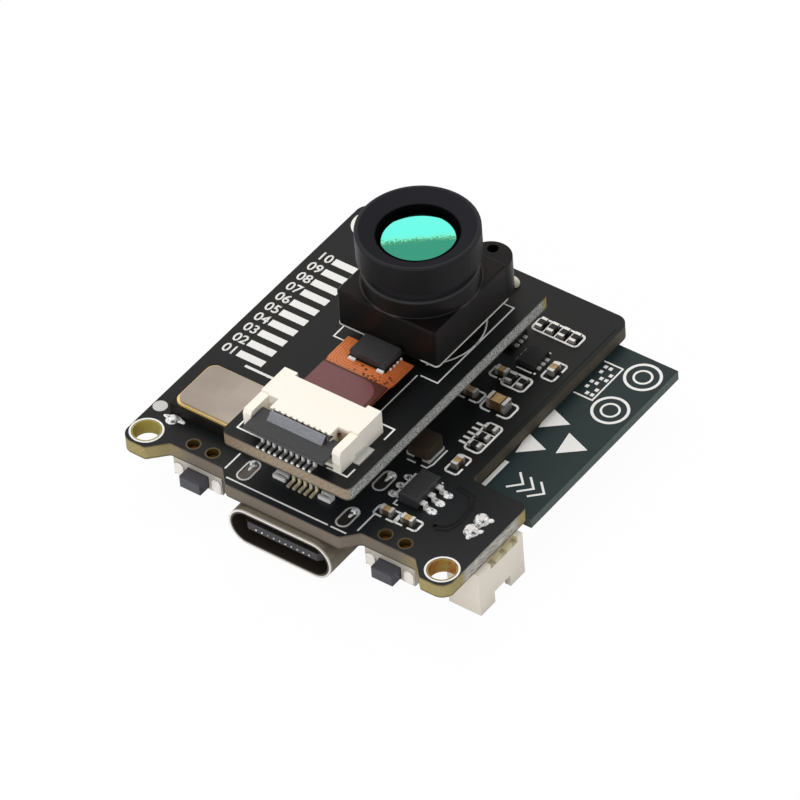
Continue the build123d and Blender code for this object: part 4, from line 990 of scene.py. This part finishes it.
class MODULE_OT_components(bpy.types.Operator):
    """Finishes the oscillator, regulator, coil, chips, capacitors and resistors"""

    bl_idname = "module.components"
    bl_label = "Small components"

    def execute(self, context):
        f = Finish("oscillator_lid")
        brushed = f.noise(4.0, 3.0, 0.6, (0.5, 4.0, 1.0))
        broad = f.noise(0.6, 2.0)
        # painted shade: the lid is darker towards the left
        dress(f.set(
            base_color=f.mix(f.x.fall(-7.2, 3.5) * 0.5, f.mix(broad, "b3a79e", "d0c4b8"), "93877e"),
            metallic=0.55,
            **f.rough(brushed, 0.42, 0.15, 0.2, 0.008, 0.05),
        ), "osc_lid")
        dress(grained("oscillator_base", "110f0e", "1b1815", 0.5, 0.04, shine=0.25), "osc_base")
        f = Finish("capacitor_tan")
        grain = f.noise(4.0, 3.0, 0.6)
        # painted light: the tops are light tan, the sides dark brown
        painted_lit_top = f.facing[2].rise(0.2, 0.5)
        sides = f.mix(grain, "3a2918", "5a4129")
        top = f.mix((grain * 2.0 - 0.5).clamped(), "99784a", "cdae7c")
        dress(f.set(
            base_color=f.mix(painted_lit_top, sides, top),
            **f.rough(grain, 0.32, 0.1, 0.2, edge=0.05),
        ), "capacitor_bodies")
        dress(grained("resistor_black", "121213", "1c1c1d", 0.35, 0.02, 7.0, shine=0.4), "resistor_bodies")
        dress(grained("resin", "28282a", "333336", 0.45, 0.04, 9.0, shine=0.35), "regulator_body")
        # painted shade: the flat chips lie under the camera board and are painted near black
        dress(grained("shaded_resin", "161617", "202022", 0.45, 0.04, 9.0, shine=0.3), "flat_chips")
        dress(grained("coil_brown", "2f251e", "41352b", 0.55, 0.06, 6.0, depth=0.03, shine=0.3),
              "inductor_core")
        return DONE


def solder_finish():
    """Bright solder: pale metal with soft dents."""
    found = bpy.data.materials.get("bright_solder")
    if found:
        return found
    f = Finish("bright_solder")
    dents = f.noise(3.2, 3.0, 0.6)
    return f.set(
        base_color=f.mix((dents * 7.0 - 2.6).clamped(), "4a4947", "ffffff"),
        metallic=0.25,
        roughness=0.2 + dents * 0.15,
        normal=f.bump(dents, 0.25, 0.04),
    )


def ink_finish():
    """White board print: flat, a little uneven at its surface."""
    found = bpy.data.materials.get("white_print")
    if found:
        return found
    ink = tuple(bpy.context.scene.module_colours.ink)
    f = Finish("white_print")
    grain = f.noise(6.0, 3.0, 0.6)
    return f.set(base_color=f.mix((grain * 1.6 - 0.5).clamped(), lighter(ink, 0.92), ink),
                 **f.rough(grain, 0.55, 0.1, 0.2, 0.005))


# Studio


def view_axes(studio):
    """Right, up and back directions of the camera."""
    turn, tilt, roll = studio.azimuth, studio.elevation, studio.roll
    level = Vector((math.cos(turn), math.sin(turn), 0))
    back = Vector((level.y, -level.x, 0)) * math.cos(tilt) + Vector((0, 0, math.sin(tilt)))
    rise = back.cross(level)
    right = level * math.cos(roll) + rise * math.sin(roll)
    return right, back.cross(right), back


def ray_kinds(tree):
    """Whether a ray comes from the camera or through glass, and whether a surface mirrors it."""
    path = tree.place("LightPath").outputs
    camera, through, glossy = (Value(tree, path[f"Is {kind} Ray"])
                               for kind in ("Camera", "Transmission", "Glossy"))
    return camera.larger(through), glossy


def paper(studio):
    """White floor that keeps a faint shadow."""
    material = bpy.data.materials.new("floor_paper")
    tree = Nodes(material)
    direct = ray_kinds(tree)[0]
    matte = tree.node("BsdfDiffuse", {}, {"Color": (0.92, 0.92, 0.92, 1)})
    glow = tree.node("Emission", {}, {"Color": (1, 1, 1, 1)})
    cover = tree.node("MixShader", {}, {"Fac": direct * studio.floor_glow, 1: matte, 2: glow})
    tree.place("OutputMaterial", {}, {"Surface": cover})
    return material


def surround(world, studio):
    """Even light, and in mirrors a white wall that ends in a ragged line below a green-grey ceiling."""
    tree = Nodes(world)
    direct, mirrored = ray_kinds(tree)
    place = tree.place("TexCoord").outputs["Generated"]
    x, y, z = tree.parts(place)
    away = y * math.cos(studio.azimuth) - x * math.sin(studio.azimuth)
    ragged = tree.node("TexNoise", {}, {"Vector": place, "Scale": 48.0, "Detail": 4.0})
    specks = tree.node("TexNoise", {}, {"Vector": place, "Scale": 170.0, "Detail": 2.0})
    tilt = studio.wall_tilt
    wall = z * math.cos(tilt) + away * math.sin(tilt) + (ragged - 0.5) * 0.12 - studio.wall_edge
    above = z.rise(0.5, 0.02)
    ceiling = (wall * -150.0).clamped() * above
    line = (1.2 - abs(wall) * 45.0).clamped() * ((specks - 0.48) * 12.0).clamped() * above
    seen = tree.mix(ceiling, (1, 1, 1, 1), tuple(studio.ceiling))
    seen = tree.mix(line * 0.8, seen, tuple(studio.specks))
    even = tree.node("Background", {}, {"Strength": studio.surround})
    shown = tree.node("Background", {}, {"Color": tree.mix(direct, seen, (1, 1, 1, 1))})
    cover = tree.node("MixShader", {}, {"Fac": direct.larger(mirrored), 1: even, 2: shown})
    tree.place("OutputWorld", {}, {"Surface": cover})


class MODULE_OT_stage(bpy.types.Operator):
    """Sets the floor, the soft light, the surround and the camera"""

    bl_idname = "module.stage"
    bl_label = "Studio"

    def execute(self, context):
        scene = context.scene
        studio = scene.module_studio
        scene.view_settings.view_transform = "Standard"
        right, up, back = view_axes(studio)
        aim = Vector(studio.aim)
        select_none()

        bpy.ops.object.camera_add()
        camera = context.object
        camera.name = "photo_camera"
        camera.data.sensor_width = 36.0
        camera.data.lens = studio.lens
        camera.data.clip_start = 0.01
        camera.data.clip_end = 10.0
        eye = aim + back * studio.distance - right * studio.slide[0] - up * studio.slide[1]
        turn = Matrix((right, up, back)).transposed().to_4x4()
        camera.matrix_world = Matrix.Translation(eye) @ turn
        scene.camera = camera

        # the floor lies slightly below the object, so that their faces do not coincide
        bpy.ops.mesh.primitive_plane_add(size=3.0, location=(0, 0, (FLOOR_LEVEL - 0.02) * MM))
        floor = context.object
        floor.name = "floor"
        floor.data.materials.append(paper(studio))
        scene.world = bpy.data.worlds.new("studio")
        surround(scene.world, studio)

        # a large lamp above, and a low one on the camera's side
        for name, place, size, power in (
            ("key_lamp", aim + Vector((-0.12, 0.05, 0.3)), 0.3, studio.key),
            ("fill_lamp", aim + back * 0.3 - right * 0.14 - up * 0.12, 0.25, studio.fill),
        ):
            bpy.ops.object.light_add(type="AREA", location=place)
            lamp = context.object
            lamp.name = name
            lamp.data.shape = "DISK"
            lamp.data.size = size
            lamp.data.energy = power
            lamp.visible_glossy = False
            lamp.rotation_euler = (place - aim).to_track_quat("Z", "Y").to_euler()
        return DONE


class MODULE_PT_panel(bpy.types.Panel):
    """Lists the module's pieces in the order in which they are made"""

    bl_label = "Camera Module"
    bl_idname = "MODULE_PT_panel"
    bl_space_type = "VIEW_3D"
    bl_region_type = "UI"
    bl_category = "Module"

    def draw(self, context):
        scene = context.scene
        for operator in OPERATORS:
            self.layout.operator(operator.bl_idname)
        for group in (scene.module_sizes, scene.module_colours, scene.module_studio):
            box = self.layout.box()
            for name in group.__annotations__:
                box.prop(group, name)


OPERATORS = (
    MODULE_OT_boards,
    MODULE_OT_main_print,
    MODULE_OT_camera_print,
    MODULE_OT_radio_print,
    MODULE_OT_camera_parts,
    MODULE_OT_connector,
    MODULE_OT_sockets,
    MODULE_OT_solder,
    MODULE_OT_relief,
    MODULE_OT_components,
    MODULE_OT_stage,
)
CLASSES = (ModuleSizes, ModuleColours, StudioSettings) + OPERATORS + (MODULE_PT_panel,)


def register():
    for made in CLASSES:
        bpy.utils.register_class(made)
    bpy.types.Scene.module_sizes = PointerProperty(type=ModuleSizes)
    bpy.types.Scene.module_colours = PointerProperty(type=ModuleColours)
    bpy.types.Scene.module_studio = PointerProperty(type=StudioSettings)


def unregister():
    del bpy.types.Scene.module_sizes
    del bpy.types.Scene.module_colours
    del bpy.types.Scene.module_studio
    for made in reversed(CLASSES):
        bpy.utils.unregister_class(made)


def main():
    register()
    for operator in OPERATORS:
        group, name = operator.bl_idname.split(".")
        if getattr(getattr(bpy.ops, group), name)() != DONE:
            raise RuntimeError(operator.bl_label + " was not finished")


if __name__ == "__main__":
    main()
